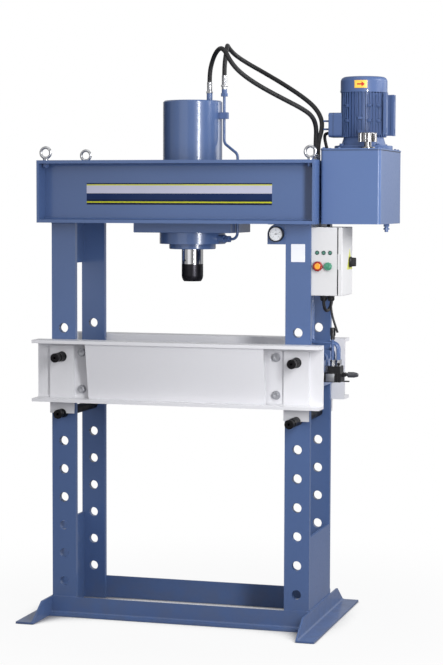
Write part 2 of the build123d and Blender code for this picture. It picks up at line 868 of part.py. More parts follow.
# Nuts and unions of the pipes, and the clamp that holds the steel pipe to the barrel
with BuildPart() as pipe_fittings:
    for x, y in (
        (port_left_x, port_front_y),
        (port_right_x, port_front_y),
        (port_left_x, port_rear_y),
        (port_right_x, port_rear_y),
    ):
        with BuildSketch(Plane.XY.offset(valve_top)):
            with Locations((x, y)):
                RegularPolygon(pipe_nut_width / 2, 6, major_radius=False, rotation=30)
        extrude(amount=fitting_height)
    with BuildSketch(Plane.XY.offset(valve_bottom + valve_height)):
        with Locations((inlet_x, inlet_y)):
            RegularPolygon(pipe_nut_width / 2, 6, major_radius=False)
    extrude(amount=fitting_height)
    for y in (-column_pipe_pitch / 2, column_pipe_pitch / 2):
        with BuildSketch(Plane.XY.offset(column_nut_bottom)):
            with Locations((column_pipe_x, y)):
                RegularPolygon(pipe_nut_width / 2, 6, major_radius=False)
        extrude(amount=column_nut_height)
    for y in (front_run_y, rear_run_y):
        with BuildSketch(Plane.YZ.offset(tank_nut_x)):
            with Locations((y, tank_pipe_z)):
                RegularPolygon(pipe_nut_width / 2, 6, major_radius=False)
        extrude(amount=fitting_height)
    with BuildSketch(rod_port.offset(gland_diameter / 2 + rod_port_reach)):
        RegularPolygon(hose_nut_width / 2, 6, major_radius=False)
    extrude(amount=port_nut_height)
    with BuildSketch(Plane.XY.offset(rod_pipe_top)):
        with Locations((rod_pipe_x, rod_pipe_y)):
            RegularPolygon(hose_nut_width / 2, 6, major_radius=False)
    extrude(amount=pipe_nut_stack / 3)
    with BuildSketch(Plane.XY.offset(rod_pipe_top + pipe_nut_stack / 3)):
        with Locations((rod_pipe_x, rod_pipe_y)):
            Circle(hose_nut_width / 2 - 2)
    extrude(amount=pipe_nut_stack * 2 / 3)
    with BuildSketch(Plane.XY.offset(clamp_z)):
        with Locations((rod_pipe_x, rod_pipe_y)):
            Rectangle(clamp_width, clamp_width)
        with Locations((barrel_diameter / 2 - 4, rod_pipe_y)):
            Rectangle(rod_pipe_x - barrel_diameter / 2 + 4, clamp_width * 0.8, align=(Align.MIN, Align.CENTER))
        Circle(barrel_diameter / 2, mode=Mode.SUBTRACT)
        with Locations((rod_pipe_x, rod_pipe_y)):
            Circle(pipe_diameter / 2 + bearing_gap, mode=Mode.SUBTRACT)
    extrude(amount=clamp_height)
save(pipe_fittings.part, "pipe_fittings")

# Tank, welded from bent sheet, with a drain plug under its floor
tank_x = tank_left + tank_width / 2
tank_y = tank_front_y + tank_depth / 2
with BuildPart() as tank_body:
    with BuildSketch(Plane.XY.offset(tank_bottom)):
        with Locations((tank_x, tank_y)):
            RectangleRounded(tank_width, tank_depth, tank_corner)
    extrude(amount=tank_top - tank_bottom)
    offset(amount=-tank_wall, openings=tank_body.faces().sort_by(Axis.Z)[-1])
    with BuildSketch(Plane.XY.offset(tank_bottom)):
        with Locations((tank_left + drain_x, tank_front_y + drain_y)):
            RegularPolygon(drain_hex / 2, 6, major_radius=False)
    extrude(amount=-drain_height)
save(tank_body.part, "tank_body")

# Lid of the tank with the holes for the pump's shaft and the filler
filler_at_x = tank_left + filler_x
filler_at_y = tank_front_y + filler_y
with BuildPart() as tank_lid:
    with BuildSketch(Plane.XY.offset(tank_top)):
        with Locations((tank_x, tank_y)):
            RectangleRounded(
                tank_width + 2 * lid_overhang, tank_depth + 2 * lid_overhang, tank_corner + lid_overhang
            )
        with Locations((motor_axis_x, motor_axis_y)):
            Circle(lid_hole / 2, mode=Mode.SUBTRACT)
        with Locations((filler_at_x, filler_at_y)):
            Circle(filler_neck_diameter / 2 + bolt_gap, mode=Mode.SUBTRACT)
    extrude(amount=lid_thick)
save(tank_lid.part, "tank_lid")

# Filler neck with its flange on the lid
with BuildPart() as filler_neck:
    with BuildSketch(Plane.XY.offset(lid_top)):
        with Locations((filler_at_x, filler_at_y)):
            Circle(filler_flange / 2)
    extrude(amount=filler_flange_thick)
    with BuildSketch(Plane.XY.offset(lid_top - lid_thick - filler_below_lid)):
        with Locations((filler_at_x, filler_at_y)):
            Circle(filler_neck_diameter / 2)
    extrude(amount=lid_thick + filler_below_lid + filler_neck_height)
    with BuildSketch(Plane.XY.offset(lid_top - lid_thick - filler_below_lid)):
        with Locations((filler_at_x, filler_at_y)):
            Circle(filler_bore / 2)
    extrude(amount=lid_thick + filler_below_lid + filler_neck_height, mode=Mode.SUBTRACT)
save(filler_neck.part, "filler_neck")

# Breather cap with a lobed rim, its plug turning in the neck
cap_seat = lid_top + filler_neck_height
with BuildPart() as filler_cap:
    with BuildSketch(Plane.XY.offset(cap_seat)):
        with Locations((filler_at_x, filler_at_y)):
            Circle(filler_cap_diameter / 2)
            with PolarLocations(filler_cap_diameter / 2 + filler_lobe / 2, filler_lobe_count):
                Circle(filler_lobe, mode=Mode.SUBTRACT)
    extrude(amount=filler_cap_height)
    fillet(filler_cap.faces().sort_by(Axis.Z)[-1].edges(), 4)
    with BuildSketch(Plane.XY.offset(cap_seat)):
        with Locations((filler_at_x, filler_at_y)):
            Circle(filler_bore / 2 - bearing_gap)
    extrude(amount=-filler_plug)
save(filler_cap.part, "filler_cap")

# Tank carriers on the right column, and the plate that carries the hand valve
with BuildPart() as side_brackets:
    for z in carrier_heights:
        for y in (-carrier_y, carrier_y):
            with BuildSketch(Plane.XZ.offset(-(y - carrier_length / 2))):
                with Locations(((outer_x + tank_left) / 2, z)):
                    Rectangle(tank_left - outer_x, carrier_height)
                    Rectangle(
                        tank_left - outer_x - 2 * carrier_wall, carrier_height - 2 * carrier_wall, mode=Mode.SUBTRACT
                    )
            extrude(amount=-carrier_length)
    with BuildSketch(Plane.YZ.offset(outer_x)):
        with Locations((0, valve_plate_bottom)):
            Rectangle(2 * outer_y, valve_plate_height, align=(Align.CENTER, Align.MIN))
    extrude(amount=valve_plate_thick)
save(side_brackets.part, "side_brackets")

# Pump under the lid: bell, gear pump, suction pipe and strainer
bell_bottom = tank_top - pump_bell_height
pump_bottom = bell_bottom - pump_height
strainer_top = pump_bottom - suction_height
with BuildPart() as pump:
    with BuildSketch(Plane.XY.offset(bell_bottom)):
        with Locations((motor_axis_x, motor_axis_y)):
            Circle(pump_bell_diameter / 2)
    extrude(amount=pump_bell_height)
    with BuildSketch(Plane.XY.offset(tank_top - pump_flange_thick)):
        with Locations((motor_axis_x, motor_axis_y)):
            Circle(pump_bell_diameter / 2 + pump_flange_rim)
    extrude(amount=pump_flange_thick)
    with BuildSketch(Plane.XY.offset(bell_bottom + pump_flange_thick)):
        with Locations((motor_axis_x, motor_axis_y)):
            Circle(pump_bell_bore / 2)
    extrude(amount=pump_bell_height, mode=Mode.SUBTRACT)
    with BuildSketch(Plane.XY.offset(pump_bottom)):
        with Locations((motor_axis_x, motor_axis_y)):
            RectangleRounded(pump_width, pump_depth, 12)
    extrude(amount=pump_height)
    with BuildSketch(Plane.XY.offset(strainer_top)):
        with Locations((motor_axis_x, motor_axis_y + pump_depth / 4)):
            Circle(suction_diameter / 2)
    extrude(amount=suction_height)
    with BuildSketch(Plane.XY.offset(strainer_top - strainer_height)):
        with Locations((motor_axis_x, motor_axis_y + pump_depth / 4)):
            Circle(strainer_diameter / 2)
    extrude(amount=strainer_height)
save(pump.part, "pump")

# Motor flange with its bell
with BuildPart() as motor_flange:
    with BuildSketch(Plane.XY.offset(lid_top)):
        with Locations((motor_axis_x, motor_axis_y)):
            Circle(motor_flange_diameter / 2)
    extrude(amount=motor_flange_thick)
    chamfer(motor_flange.faces().sort_by(Axis.Z)[-1].edges(), 2)
    with BuildSketch(Plane.XY.offset(lid_top + motor_flange_thick)):
        with Locations((motor_axis_x, motor_axis_y)):
            Circle(bell_diameter / 2 + bell_flare)
    with BuildSketch(Plane.XY.offset(housing_bottom)):
        with Locations((motor_axis_x, motor_axis_y)):
            Circle(bell_diameter / 2)
    loft()
    with BuildSketch(Plane.XY.offset(lid_top)):
        with Locations((motor_axis_x, motor_axis_y)):
            Circle(shaft_diameter / 2 + bearing_gap)
    extrude(amount=housing_bottom - lid_top, mode=Mode.SUBTRACT)
save(motor_flange.part, "motor_flange")

# Finned housing of the motor with its two feet
fin_tip_radius = housing_diameter / 2 + fin_height
foot_offset = motor_foot_pitch / 2
with BuildPart() as motor_housing:
    with BuildSketch(Plane.XY.offset(housing_bottom)):
        with Locations((motor_axis_x, motor_axis_y)):
            Circle(housing_diameter / 2)
            with PolarLocations(housing_diameter / 2 - fin_root, fin_count):
                Rectangle(fin_height + fin_root, fin_thick, align=(Align.MIN, Align.CENTER))
    extrude(amount=housing_height)
    with BuildSketch(Plane.XY.offset(housing_bottom + motor_foot_rise)):
        for foot_side in (-1, 1):
            with Locations((motor_axis_x, motor_axis_y + foot_side * foot_offset)):
                Rectangle(motor_foot_reach, motor_foot_web, align=(Align.MIN, Align.CENTER))
            with Locations((motor_axis_x + motor_foot_reach, motor_axis_y + foot_side * (foot_offset + motor_foot_web))):
                Rectangle(motor_foot_thick, motor_foot_width, align=(Align.MAX, Align.CENTER))
        with Locations((motor_axis_x, motor_axis_y)):
            Circle(housing_diameter / 2 - fin_root, mode=Mode.SUBTRACT)
    extrude(amount=motor_foot_length)
    with BuildSketch(Plane.XY.offset(housing_bottom)):
        with Locations((motor_axis_x, motor_axis_y)):
            Circle(stator_bore / 2)
    extrude(amount=housing_height - end_shield_thick, mode=Mode.SUBTRACT)
    with BuildSketch(Plane.XY.offset(housing_top)):
        with Locations((motor_axis_x, motor_axis_y)):
            Circle(shaft_diameter / 2 + bearing_gap)
    extrude(amount=-end_shield_thick, mode=Mode.SUBTRACT)
    with BuildSketch(Plane.YZ.offset(motor_axis_x + motor_foot_reach)):
        for foot_side in (-1, 1):
            for end in (-1, 1):
                with Locations(
                    (
                        motor_axis_y + foot_side * (foot_offset + motor_foot_web),
                        housing_bottom + motor_foot_rise + motor_foot_length / 2 + end * motor_foot_hole_pitch / 2,
                    )
                ):
                    SlotOverall(motor_foot_hole * 2, motor_foot_hole, rotation=90)
    extrude(amount=-motor_foot_thick, mode=Mode.SUBTRACT)
save(motor_housing.part, "motor_housing")

# Fan cowl, pressed sheet with a rounded shoulder and a slotted top
cowl_inner = fin_tip_radius + moving_gap
cowl_bottom = housing_top - cowl_lap
cowl_top = cowl_bottom + cowl_height
with BuildPart() as fan_cowl:
    with BuildSketch(Plane.XY.offset(cowl_bottom)):
        with Locations((motor_axis_x, motor_axis_y)):
            Circle(cowl_inner + cowl_wall)
    extrude(amount=cowl_height)
    fillet(fan_cowl.faces().sort_by(Axis.Z)[-1].edges(), cowl_shoulder)
    offset(amount=-cowl_wall, openings=fan_cowl.faces().sort_by(Axis.Z)[0])
    with BuildSketch(Plane.XY.offset(cowl_top)):
        with Locations((motor_axis_x, motor_axis_y)):
            for ring, count in ((0.35, 10), (0.6, 16)):
                with PolarLocations(cowl_inner * ring, count):
                    SlotOverall(cowl_slot_length, cowl_slot)
    extrude(amount=-cowl_wall, mode=Mode.SUBTRACT)
save(fan_cowl.part, "fan_cowl")

# Rotor on its shaft, and the coupling half under the lid
shaft_top = housing_top + fan_above_shield + fan_hub_height
with BuildPart() as motor_rotor:
    with BuildSketch(Plane.XY.offset(tank_top - shaft_below_lid)):
        with Locations((motor_axis_x, motor_axis_y)):
            Circle(shaft_diameter / 2)
    extrude(amount=shaft_top - tank_top + shaft_below_lid)
    with BuildSketch(Plane.XY.offset(housing_bottom + rotor_end_gap)):
        with Locations((motor_axis_x, motor_axis_y)):
            Circle(stator_bore / 2 - rotor_air_gap)
    extrude(amount=housing_height - end_shield_thick - 2 * rotor_end_gap)
    with BuildSketch(Plane.XY.offset(tank_top - shaft_below_lid)):
        with Locations((motor_axis_x, motor_axis_y)):
            Circle(coupling_diameter / 2)
    extrude(amount=coupling_height)
save(motor_rotor.part, "motor_rotor")

# Radial fan of the motor
with BuildPart() as fan:
    with BuildSketch(Plane.XY.offset(housing_top + fan_above_shield)):
        with Locations((motor_axis_x, motor_axis_y)):
            Circle(shaft_diameter / 2 + fan_hub_wall)
            with PolarLocations(shaft_diameter / 2 + fan_hub_wall / 2, fan_blade_count):
                Rectangle(fan_radius - shaft_diameter / 2 - fan_hub_wall / 2, fan_blade, align=(Align.MIN, Align.CENTER))
            Circle(shaft_diameter / 2 + bearing_gap, mode=Mode.SUBTRACT)
    extrude(amount=fan_hub_height)
save(fan.part, "fan")

# Terminal box, saddled on the housing, with its cable entry on the left
box_left = motor_axis_x - fin_tip_radius - box_width
box_gland_y = motor_axis_y + box_gland_offset
box_gland_z = housing_bottom + box_gland_rise
with BuildPart() as terminal_box:
    with BuildSketch(Plane.XY.offset(housing_bottom)):
        with Locations((box_left, motor_axis_y)):
            Rectangle(box_width + box_saddle, box_depth, align=(Align.MIN, Align.CENTER))
    extrude(amount=box_height)
    fillet(terminal_box.edges().filter_by(Axis.X), 12)
    fillet(terminal_box.faces().sort_by(Axis.X)[0].edges(), 3)
    with BuildSketch(Plane.XY.offset(housing_bottom)):
        with Locations((motor_axis_x, motor_axis_y)):
            Circle(fin_tip_radius + moving_gap)
    extrude(amount=box_height, mode=Mode.SUBTRACT)
    with BuildSketch(Plane.YZ.offset(box_left)):
        with Locations((box_gland_y, box_gland_z)):
            RegularPolygon(pipe_nut_width / 2, 6, major_radius=False)
    extrude(amount=-box_gland_height)
save(terminal_box.part, "terminal_box")

# Cabinet on the column's outer side, open towards its door, with one half of each hinge
cabinet_right = outer_x + cabinet_box
cabinet_rear_y = cabinet_front_y + cabinet_depth
cabinet_top = cabinet_bottom + cabinet_height
hinge_x = cabinet_right + door_gap / 2
hinge_y = cabinet_rear_y + hinge_barrel / 2 + hinge_clear
hinge_bottoms = (cabinet_bottom + hinge_from_edge, cabinet_top - hinge_from_edge - hinge_height)
lamp_z = cabinet_bottom + lamp_above_bottom
lamp_xs = [outer_x + lamp_first + k * lamp_pitch for k in range(3)]
button_z = cabinet_bottom + button_above_bottom
stop_x = outer_x + stop_from_column
start_x = outer_x + start_from_column
gland_y = cabinet_front_y + gland_from_front
gland_xs = (outer_x + gland_first, outer_x + gland_first + gland_pitch)
bezel_barrel = button_stem / 2 + bearing_gap + button_barrel_wall
with BuildPart() as cabinet_body:
    with BuildSketch(Plane.YZ.offset(outer_x)):
        with Locations((cabinet_front_y + cabinet_depth / 2, cabinet_bottom + cabinet_height / 2)):
            RectangleRounded(cabinet_depth, cabinet_height, cabinet_corner)
    extrude(amount=cabinet_box)
    offset(amount=-cabinet_wall, openings=cabinet_body.faces().sort_by(Axis.X)[-1])
    with BuildSketch(Plane.XZ.offset(-cabinet_front_y)):
        with Locations(*[(x, lamp_z) for x in lamp_xs]):
            Circle(lamp_diameter / 2 - 2 + bolt_gap)
        with Locations((stop_x, button_z), (start_x, button_z)):
            Circle(bezel_barrel + bolt_gap)
    extrude(amount=-2 * cabinet_wall, mode=Mode.SUBTRACT)
    with BuildSketch(Plane.XY.offset(cabinet_bottom)):
        with Locations(*[(x, gland_y) for x in gland_xs]):
            Circle(gland_stub / 2 + bolt_gap)
    extrude(amount=2 * cabinet_wall, mode=Mode.SUBTRACT)
    for z in hinge_bottoms:
        with BuildSketch(Plane.XY.offset(z)):
            with Locations((hinge_x, hinge_y)):
                Circle(hinge_barrel / 2)
            with Locations((cabinet_right, cabinet_rear_y)):
                Rectangle(hinge_barrel, hinge_y - cabinet_rear_y, align=(Align.MAX, Align.MIN))
        extrude(amount=hinge_height / 2)
        with BuildSketch(Plane.XY.offset(z)):
            with Locations((hinge_x, hinge_y)):
                Circle(hinge_pin / 2)
        extrude(amount=hinge_height)
save(cabinet_body.part, "cabinet_body")

# Door, a folded pan with the other half of each hinge and a finger pull at its front edge
door_inner = cabinet_right + door_gap
door_face = door_inner + door_thick
knob_y = cabinet_front_y + switch_from_front
knob_z = cabinet_bottom + switch_above_bottom
latch_z = cabinet_bottom + latch_above_bottom
with BuildPart() as cabinet_door:
    with BuildSketch(Plane.YZ.offset(door_inner)):
        with Locations((cabinet_front_y + cabinet_depth / 2, cabinet_bottom + cabinet_height / 2)):
            RectangleRounded(cabinet_depth, cabinet_height, cabinet_corner)
    extrude(amount=door_thick)
    fillet(cabinet_door.faces().sort_by(Axis.X)[-1].edges(), cabinet_corner)
    offset(amount=-door_wall, openings=cabinet_door.faces().sort_by(Axis.X)[0])
    with BuildSketch(Plane.XZ.offset(-cabinet_front_y)):
        with Locations((door_inner, latch_z)):
            Rectangle(door_thick / 2, latch_height, align=(Align.MIN, Align.MIN))
    extrude(amount=2 * door_wall)
    with BuildSketch(Plane.YZ.offset(door_face)):
        with Locations((knob_y, knob_z)):
            Circle(switch_shaft / 2 + bearing_gap)
    extrude(amount=-2 * door_wall, mode=Mode.SUBTRACT)
    for z in hinge_bottoms:
        with BuildSketch(Plane.XY.offset(z + hinge_height / 2 + moving_gap)):
            with Locations((hinge_x, hinge_y)):
                Circle(hinge_barrel / 2)
            with Locations((door_inner, cabinet_rear_y - door_wall / 2)):
                Rectangle(hinge_barrel, hinge_y - cabinet_rear_y + door_wall / 2, align=(Align.MIN, Align.MIN))
            with Locations((hinge_x, hinge_y)):
                Circle(hinge_pin / 2 + bearing_gap, mode=Mode.SUBTRACT)
        extrude(amount=hinge_height / 2 - moving_gap)
save(cabinet_door.part, "cabinet_door")

# Knob of the main switch, its shaft turning in the door
with BuildPart() as main_switch:
    with BuildSketch(Plane.YZ.offset(door_face + switch_stand_off)):
        with Locations((knob_y, knob_z)):
            Circle(switch_knob / 2)
    extrude(amount=switch_disc_thick)
    chamfer(main_switch.faces().sort_by(Axis.X)[-1].edges(), 2)
    with BuildSketch(Plane.YZ.offset(door_face + switch_stand_off + switch_disc_thick)):
        with Locations((knob_y, knob_z)):
            SlotOverall(switch_knob - 6, switch_grip_width, rotation=90)
    extrude(amount=switch_grip_height, taper=4)
    with BuildSketch(Plane.YZ.offset(door_face + switch_stand_off)):
        with Locations((knob_y, knob_z)):
            Circle(switch_shaft / 2)
    extrude(amount=-(door_wall + switch_stand_off + moving_gap))
    with BuildSketch(Plane.YZ.offset(door_face - door_wall - moving_gap)):
        with Locations((knob_y, knob_z)):
            Circle(switch_shaft)
    extrude(amount=-2 * door_wall)
save(main_switch.part, "main_switch")

# Signal lamps and the two buttons' bezels
with BuildPart() as indicators:
    for x in lamp_xs:
        with BuildSketch(Plane.XZ.offset(-cabinet_front_y)):
            with Locations((x, lamp_z)):
                Circle(lamp_diameter / 2)
        extrude(amount=lamp_diameter / 4)
        with BuildSketch(Plane.XZ.offset(-cabinet_front_y)):
            with Locations((x, lamp_z)):
                Circle(lamp_diameter / 2 - 2)
        extrude(amount=-lamp_diameter)
    fillet(indicators.faces().filter_by(Axis.Y).group_by(Axis.Y)[0].edges(), lamp_diameter / 8)
    for x in (stop_x, start_x):
        with BuildSketch(Plane.XZ.offset(-cabinet_front_y)):
            with Locations((x, button_z)):
                Circle(button_bezel / 2)
                Circle(button_stem / 2 + bearing_gap, mode=Mode.SUBTRACT)
        extrude(amount=button_bezel_thick)
        with BuildSketch(Plane.XZ.offset(-cabinet_front_y)):
            with Locations((x, button_z)):
                Circle(bezel_barrel)
                Circle(button_stem / 2 + bearing_gap, mode=Mode.SUBTRACT)
        extrude(amount=-button_barrel_length)
save(indicators.part, "indicators")

# Stop and start buttons, each a head on a stem in its bezel
head_seat = -cabinet_front_y + button_bezel_thick + button_travel + 1
for label, x, head_diameter, head_thick in (
    ("stop_button", stop_x, stop_diameter, stop_head),
    ("start_button", start_x, start_diameter, start_head),
):
    with BuildPart() as button:
        with BuildSketch(Plane.XZ.offset(head_seat)):
            with Locations((x, button_z)):
                Circle(head_diameter / 2)
        extrude(amount=head_thick)
        fillet(button.faces().sort_by(Axis.Y)[0].edges(), head_thick * 0.4)
        with BuildSketch(Plane.XZ.offset(head_seat)):
            with Locations((x, button_z)):
                Circle(button_stem / 2)
        extrude(amount=-(button_travel + 1 + button_bezel_thick + button_barrel_length / 2))
    save(button.part, label)

# Glands under the cabinet, each with its lock nut inside
with BuildPart() as cable_glands:
    for x in gland_xs:
        with BuildSketch(Plane.XY.offset(cabinet_bottom)):
            with Locations((x, gland_y)):
                RegularPolygon(gland_hex / 2, 6, major_radius=False, rotation=30)
        extrude(amount=-gland_hex_height)
        with BuildSketch(Plane.XY.offset(cabinet_bottom - gland_hex_height)):
            with Locations((x, gland_y)):
                Circle(gland_dome / 2)
        extrude(amount=-gland_dome_height, taper=8)
        with BuildSketch(Plane.XY.offset(cabinet_bottom)):
            with Locations((x, gland_y)):
                Circle(gland_stub / 2)
        extrude(amount=cabinet_wall + gland_lock_nut_height)
        with BuildSketch(Plane.XY.offset(cabinet_bottom + cabinet_wall)):
            with Locations((x, gland_y)):
                RegularPolygon(gland_lock_nut / 2, 6, major_radius=False, rotation=30)
        extrude(amount=gland_lock_nut_height)
save(cable_glands.part, "cable_glands")

# Motor cable from the first gland, behind the cabinet and up beside the tank, and the cut supply cable
gland_exit_z = cabinet_bottom - gland_hex_height - gland_dome_height
motor_conduit_points = [
    (gland_xs[0], gland_y, gland_exit_z),
    (gland_xs[0], gland_y, 1394),
    (621, -92, 1373),
    (625, -72, 1363),
    (630, -47, 1368),
    (632, -16, 1388),
    (627, 18, 1415),
    (619, 34, 1462),
    (612, 37, 1530),
    (608, 34, 1610),
    (606, 35, 1700),
    (604, 44, 1800),
    (603, 58, 1895),
    (601, 68, 1985),
    (593, 71, 2045),
    (582, 71, 2085),
    (577, 70, 2113),
    (583, box_gland_y, box_gland_z),
    (box_left - box_gland_height, box_gland_y, box_gland_z),
]
supply_cable_points = [
    (gland_xs[1], gland_y, gland_exit_z),
    (gland_xs[1], gland_y, 1392),
    (653, -102, 1359),
    (664, -102, 1319),
    (680, -100, 1273),
]
motor_conduit = tube(motor_conduit_points, conduit_diameter, largest_radii(motor_conduit_points))
save(motor_conduit.part, "motor_conduit")
supply_cable = tube(supply_cable_points, supply_cable_diameter, largest_radii(supply_cable_points))
save(supply_cable.part, "supply_cable")

# Gauge plate, welded to the right front upright, with one corner rounded off
gauge_x = clear_width / 2 - gauge_from_column
gauge_z = head_bottom - gauge_below_head
with BuildPart() as gauge_bracket:
    with BuildSketch(Plane.XZ.offset(outer_y)) as gauge_plate:
        with Locations((clear_width / 2, head_bottom)):
            Rectangle(gauge_plate_width, gauge_plate_height, align=(Align.MAX, Align.MAX))
        fillet(gauge_plate.vertices().group_by(Axis.X)[0].sort_by(Axis.Z)[0], gauge_plate_corner)
        with Locations((gauge_x, gauge_z)):
            Circle(gauge_stem / 2 + moving_gap, mode=Mode.SUBTRACT)
    extrude(amount=-gauge_plate_thick)
save(gauge_bracket.part, "gauge_bracket")

# Case of the gauge with its dial recess, and the stem with its nut behind the plate
gauge_face = outer_y + gauge_depth
dial_face = gauge_face - gauge_dial_recess
with BuildPart() as gauge_case:
    with BuildSketch(Plane.XZ.offset(outer_y)):
        with Locations((gauge_x, gauge_z)):
            Circle(gauge_diameter / 2)
    extrude(amount=gauge_depth)
    fillet(gauge_case.faces().sort_by(Axis.Y)[-1].edges(), 2)
    with BuildSketch(Plane.XZ.offset(gauge_face)):
        with Locations((gauge_x, gauge_z)):
            Circle(gauge_diameter / 2 - gauge_wall)
    extrude(amount=-gauge_dial_recess, mode=Mode.SUBTRACT)
    with BuildSketch(Plane.XZ.offset(dial_face)):
        with Locations((gauge_x, gauge_z)):
            Circle(needle_spindle / 2 + bearing_gap)
    extrude(amount=-spindle_depth, mode=Mode.SUBTRACT)
    with BuildSketch(Plane.XZ.offset(outer_y)):
        with Locations((gauge_x, gauge_z)):
            Circle(gauge_stem / 2)
    extrude(amount=-gauge_stem_length)
    with BuildSketch(Plane.XZ.offset(outer_y - gauge_plate_thick)):
        with Locations((gauge_x, gauge_z)):
            RegularPolygon(gauge_stem * 0.75, 6, major_radius=False)
    extrude(amount=-gauge_stem / 2)
save(gauge_case.part, "gauge_case")

# Needle of the gauge on its spindle, pointing to the right
with BuildPart() as gauge_needle:
    with BuildSketch(Plane.XZ.offset(dial_face + 1)):
        with BuildLine():
            Polyline(
                (gauge_x - needle_tail, gauge_z - needle_thick),
                (gauge_x + needle_length, gauge_z - needle_thick / 4),
                (gauge_x + needle_length, gauge_z + needle_thick / 4),
                (gauge_x - needle_tail, gauge_z + needle_thick),
                close=True,
            )
        make_face()
        with Locations((gauge_x, gauge_z)):
            Circle(needle_hub / 2)
    extrude(amount=needle_thick)
    with BuildSketch(Plane.XZ.offset(dial_face + 1)):
        with Locations((gauge_x, gauge_z)):
            Circle(needle_spindle / 2)
    extrude(amount=-spindle_depth)
save(gauge_needle.part, "gauge_needle")

# Hand valve: foot on its plate, spool body with a bare front pad and grooves, port block on top
valve_front = valve_y - valve_depth / 2
lever_x = valve_right + lever_pivot_from_body
lever_z = valve_bottom + lever_pivot_rise
fork_inner = lever_hub_width / 2 + lever_fork_gap
with BuildPart() as valve_body:
    with BuildSketch(Plane.XZ.offset(-valve_y)):
        with Locations((valve_left, valve_bottom)):
            Rectangle(valve_right - valve_left, valve_height, align=(Align.MIN, Align.MIN))
        with Locations((outer_x + valve_plate_thick, valve_bottom + valve_height / 2)):
            Rectangle(valve_x - outer_x - valve_plate_thick, valve_foot_height, align=(Align.MIN, Align.CENTER))
    extrude(amount=valve_depth / 2, both=True)
    chamfer(valve_body.edges().filter_by(Axis.Y).group_by(Axis.X)[-1], 3)
    with BuildSketch(Plane.XY.offset(valve_bottom + valve_height)):
        with Locations((valve_top_left, valve_y)):
            Rectangle(valve_top_right - valve_top_left, valve_depth - 6, align=(Align.MIN, Align.CENTER))
    extrude(amount=valve_top_height)
    for x in (valve_x + valve_pad_width / 2 + valve_groove, valve_x + valve_pad_width / 2 + 4 * valve_groove):
        with BuildSketch(Plane.XY.offset(valve_bottom)):
            with Locations((x, valve_front)):
                Rectangle(valve_groove, 2 * valve_groove)
        extrude(amount=valve_height, mode=Mode.SUBTRACT)
    with BuildSketch(Plane.XZ.offset(-valve_front)):
        with Locations((valve_x - 3, valve_bottom + valve_height / 2)):
            Rectangle(valve_pad_width, valve_pad_height)
    extrude(amount=valve_pad_thick)
    for fork_side in (-1, 1):
        with BuildSketch(Plane.XZ.offset(-valve_y + fork_side * (fork_inner + lever_fork_thick / 2))):
            with Locations((lever_x, lever_z)):
                Circle(lever_hub / 2)
                Rectangle(lever_pivot_from_body, lever_hub, align=(Align.MAX, Align.CENTER))
        extrude(amount=lever_fork_thick / 2, both=True)
    with BuildSketch(Plane.XZ.offset(-valve_y)):
        with Locations((lever_x, lever_z)):
            Circle(lever_pin / 2)
    extrude(amount=fork_inner + lever_fork_thick, both=True)
    with BuildSketch(Plane.XZ.offset(-valve_y)):
        with Locations((valve_right, valve_bottom)):
            Rectangle(lever_hub * 1.6, lever_fork_thick, align=(Align.MIN, Align.MIN))
    extrude(amount=lever_hub_width / 2, both=True)
save(valve_body.part, "valve_body")

# Lever of the valve: hub on its pin, neck and grip with a tapered end
grip_x = lever_x + lever_grip_start
grip_end_x = grip_x + lever_grip_length
with BuildPart() as valve_lever:
    with BuildSketch(Plane.XZ.offset(-valve_y)):
        with Locations((lever_x, lever_z)):
            Circle(lever_hub / 2 - 1)
            Circle(lever_pin / 2 + bearing_gap, mode=Mode.SUBTRACT)
    extrude(amount=lever_hub_width / 2, both=True)
    with BuildSketch(Plane.XZ.offset(-valve_y)):
        with BuildLine():
            Polyline(
                (lever_x + lever_hub / 2 - 2, lever_z),
                (lever_x + lever_hub / 2 - 2, lever_z + lever_neck / 2 - 1),
                (grip_x, lever_z + lever_neck / 2),
                (grip_x, lever_z + lever_diameter / 2 - 2),
                (grip_x + 2, lever_z + lever_diameter / 2),
                (grip_x + lever_grip_length * 0.6, lever_z + lever_diameter / 2),
                (grip_end_x - 3, lever_z + lever_diameter * 0.36),
                (grip_end_x, lever_z + lever_diameter * 0.25),
                (grip_end_x, lever_z),
                close=True,
            )
        make_face()
    revolve(axis=Axis((lever_x, valve_y, lever_z), (1, 0, 0)))
save(valve_lever.part, "valve_lever")

# Table channels, with the upper pin holes, the slots for the bearing plates and the tie bolt holes
plate_top = table_top - flange_thick - root_radius
tie_bolt_zs = (table_bottom + spacer_rise, table_bottom + spacer_rise + spacer_pitch_z)
table_middle_z = (table_bottom + table_top) / 2
for depth_name, depth_side in front_and_rear:
    bare_channel = channel(depth_side, table_web_y, table_length, table_middle_z)
    plate_y = depth_side * (table_web_y + web_thick + bearing_plate_thick / 2)
    with BuildPart() as table_channel:
        add(bare_channel)
        with BuildSketch(Plane.XZ.offset(-depth_side * table_web_y)):
            with Locations(*[(side * upright_x, upper_pin_z) for side in (-1, 1)]):
                Circle(pin_diameter / 2 + web_hole_gap)
            with Locations(*[(side * spacer_x, z) for side in (-1, 1) for z in tie_bolt_zs]):
                Circle(tie_bolt_diameter / 2 + bolt_gap)
        extrude(amount=2 * web_thick, both=True, mode=Mode.SUBTRACT)
        with BuildSketch(Plane.XY.offset(table_bottom)):
            for side in (-1, 1):
                with Locations((side * upright_x, plate_y + depth_side * bolt_gap / 2)):
                    Rectangle(upright_width + 2 * bolt_gap, bearing_plate_thick + bolt_gap)
        extrude(amount=flange_thick + root_radius + bolt_gap, mode=Mode.SUBTRACT)
    save(table_channel.part, f"table_channel_{depth_name}")

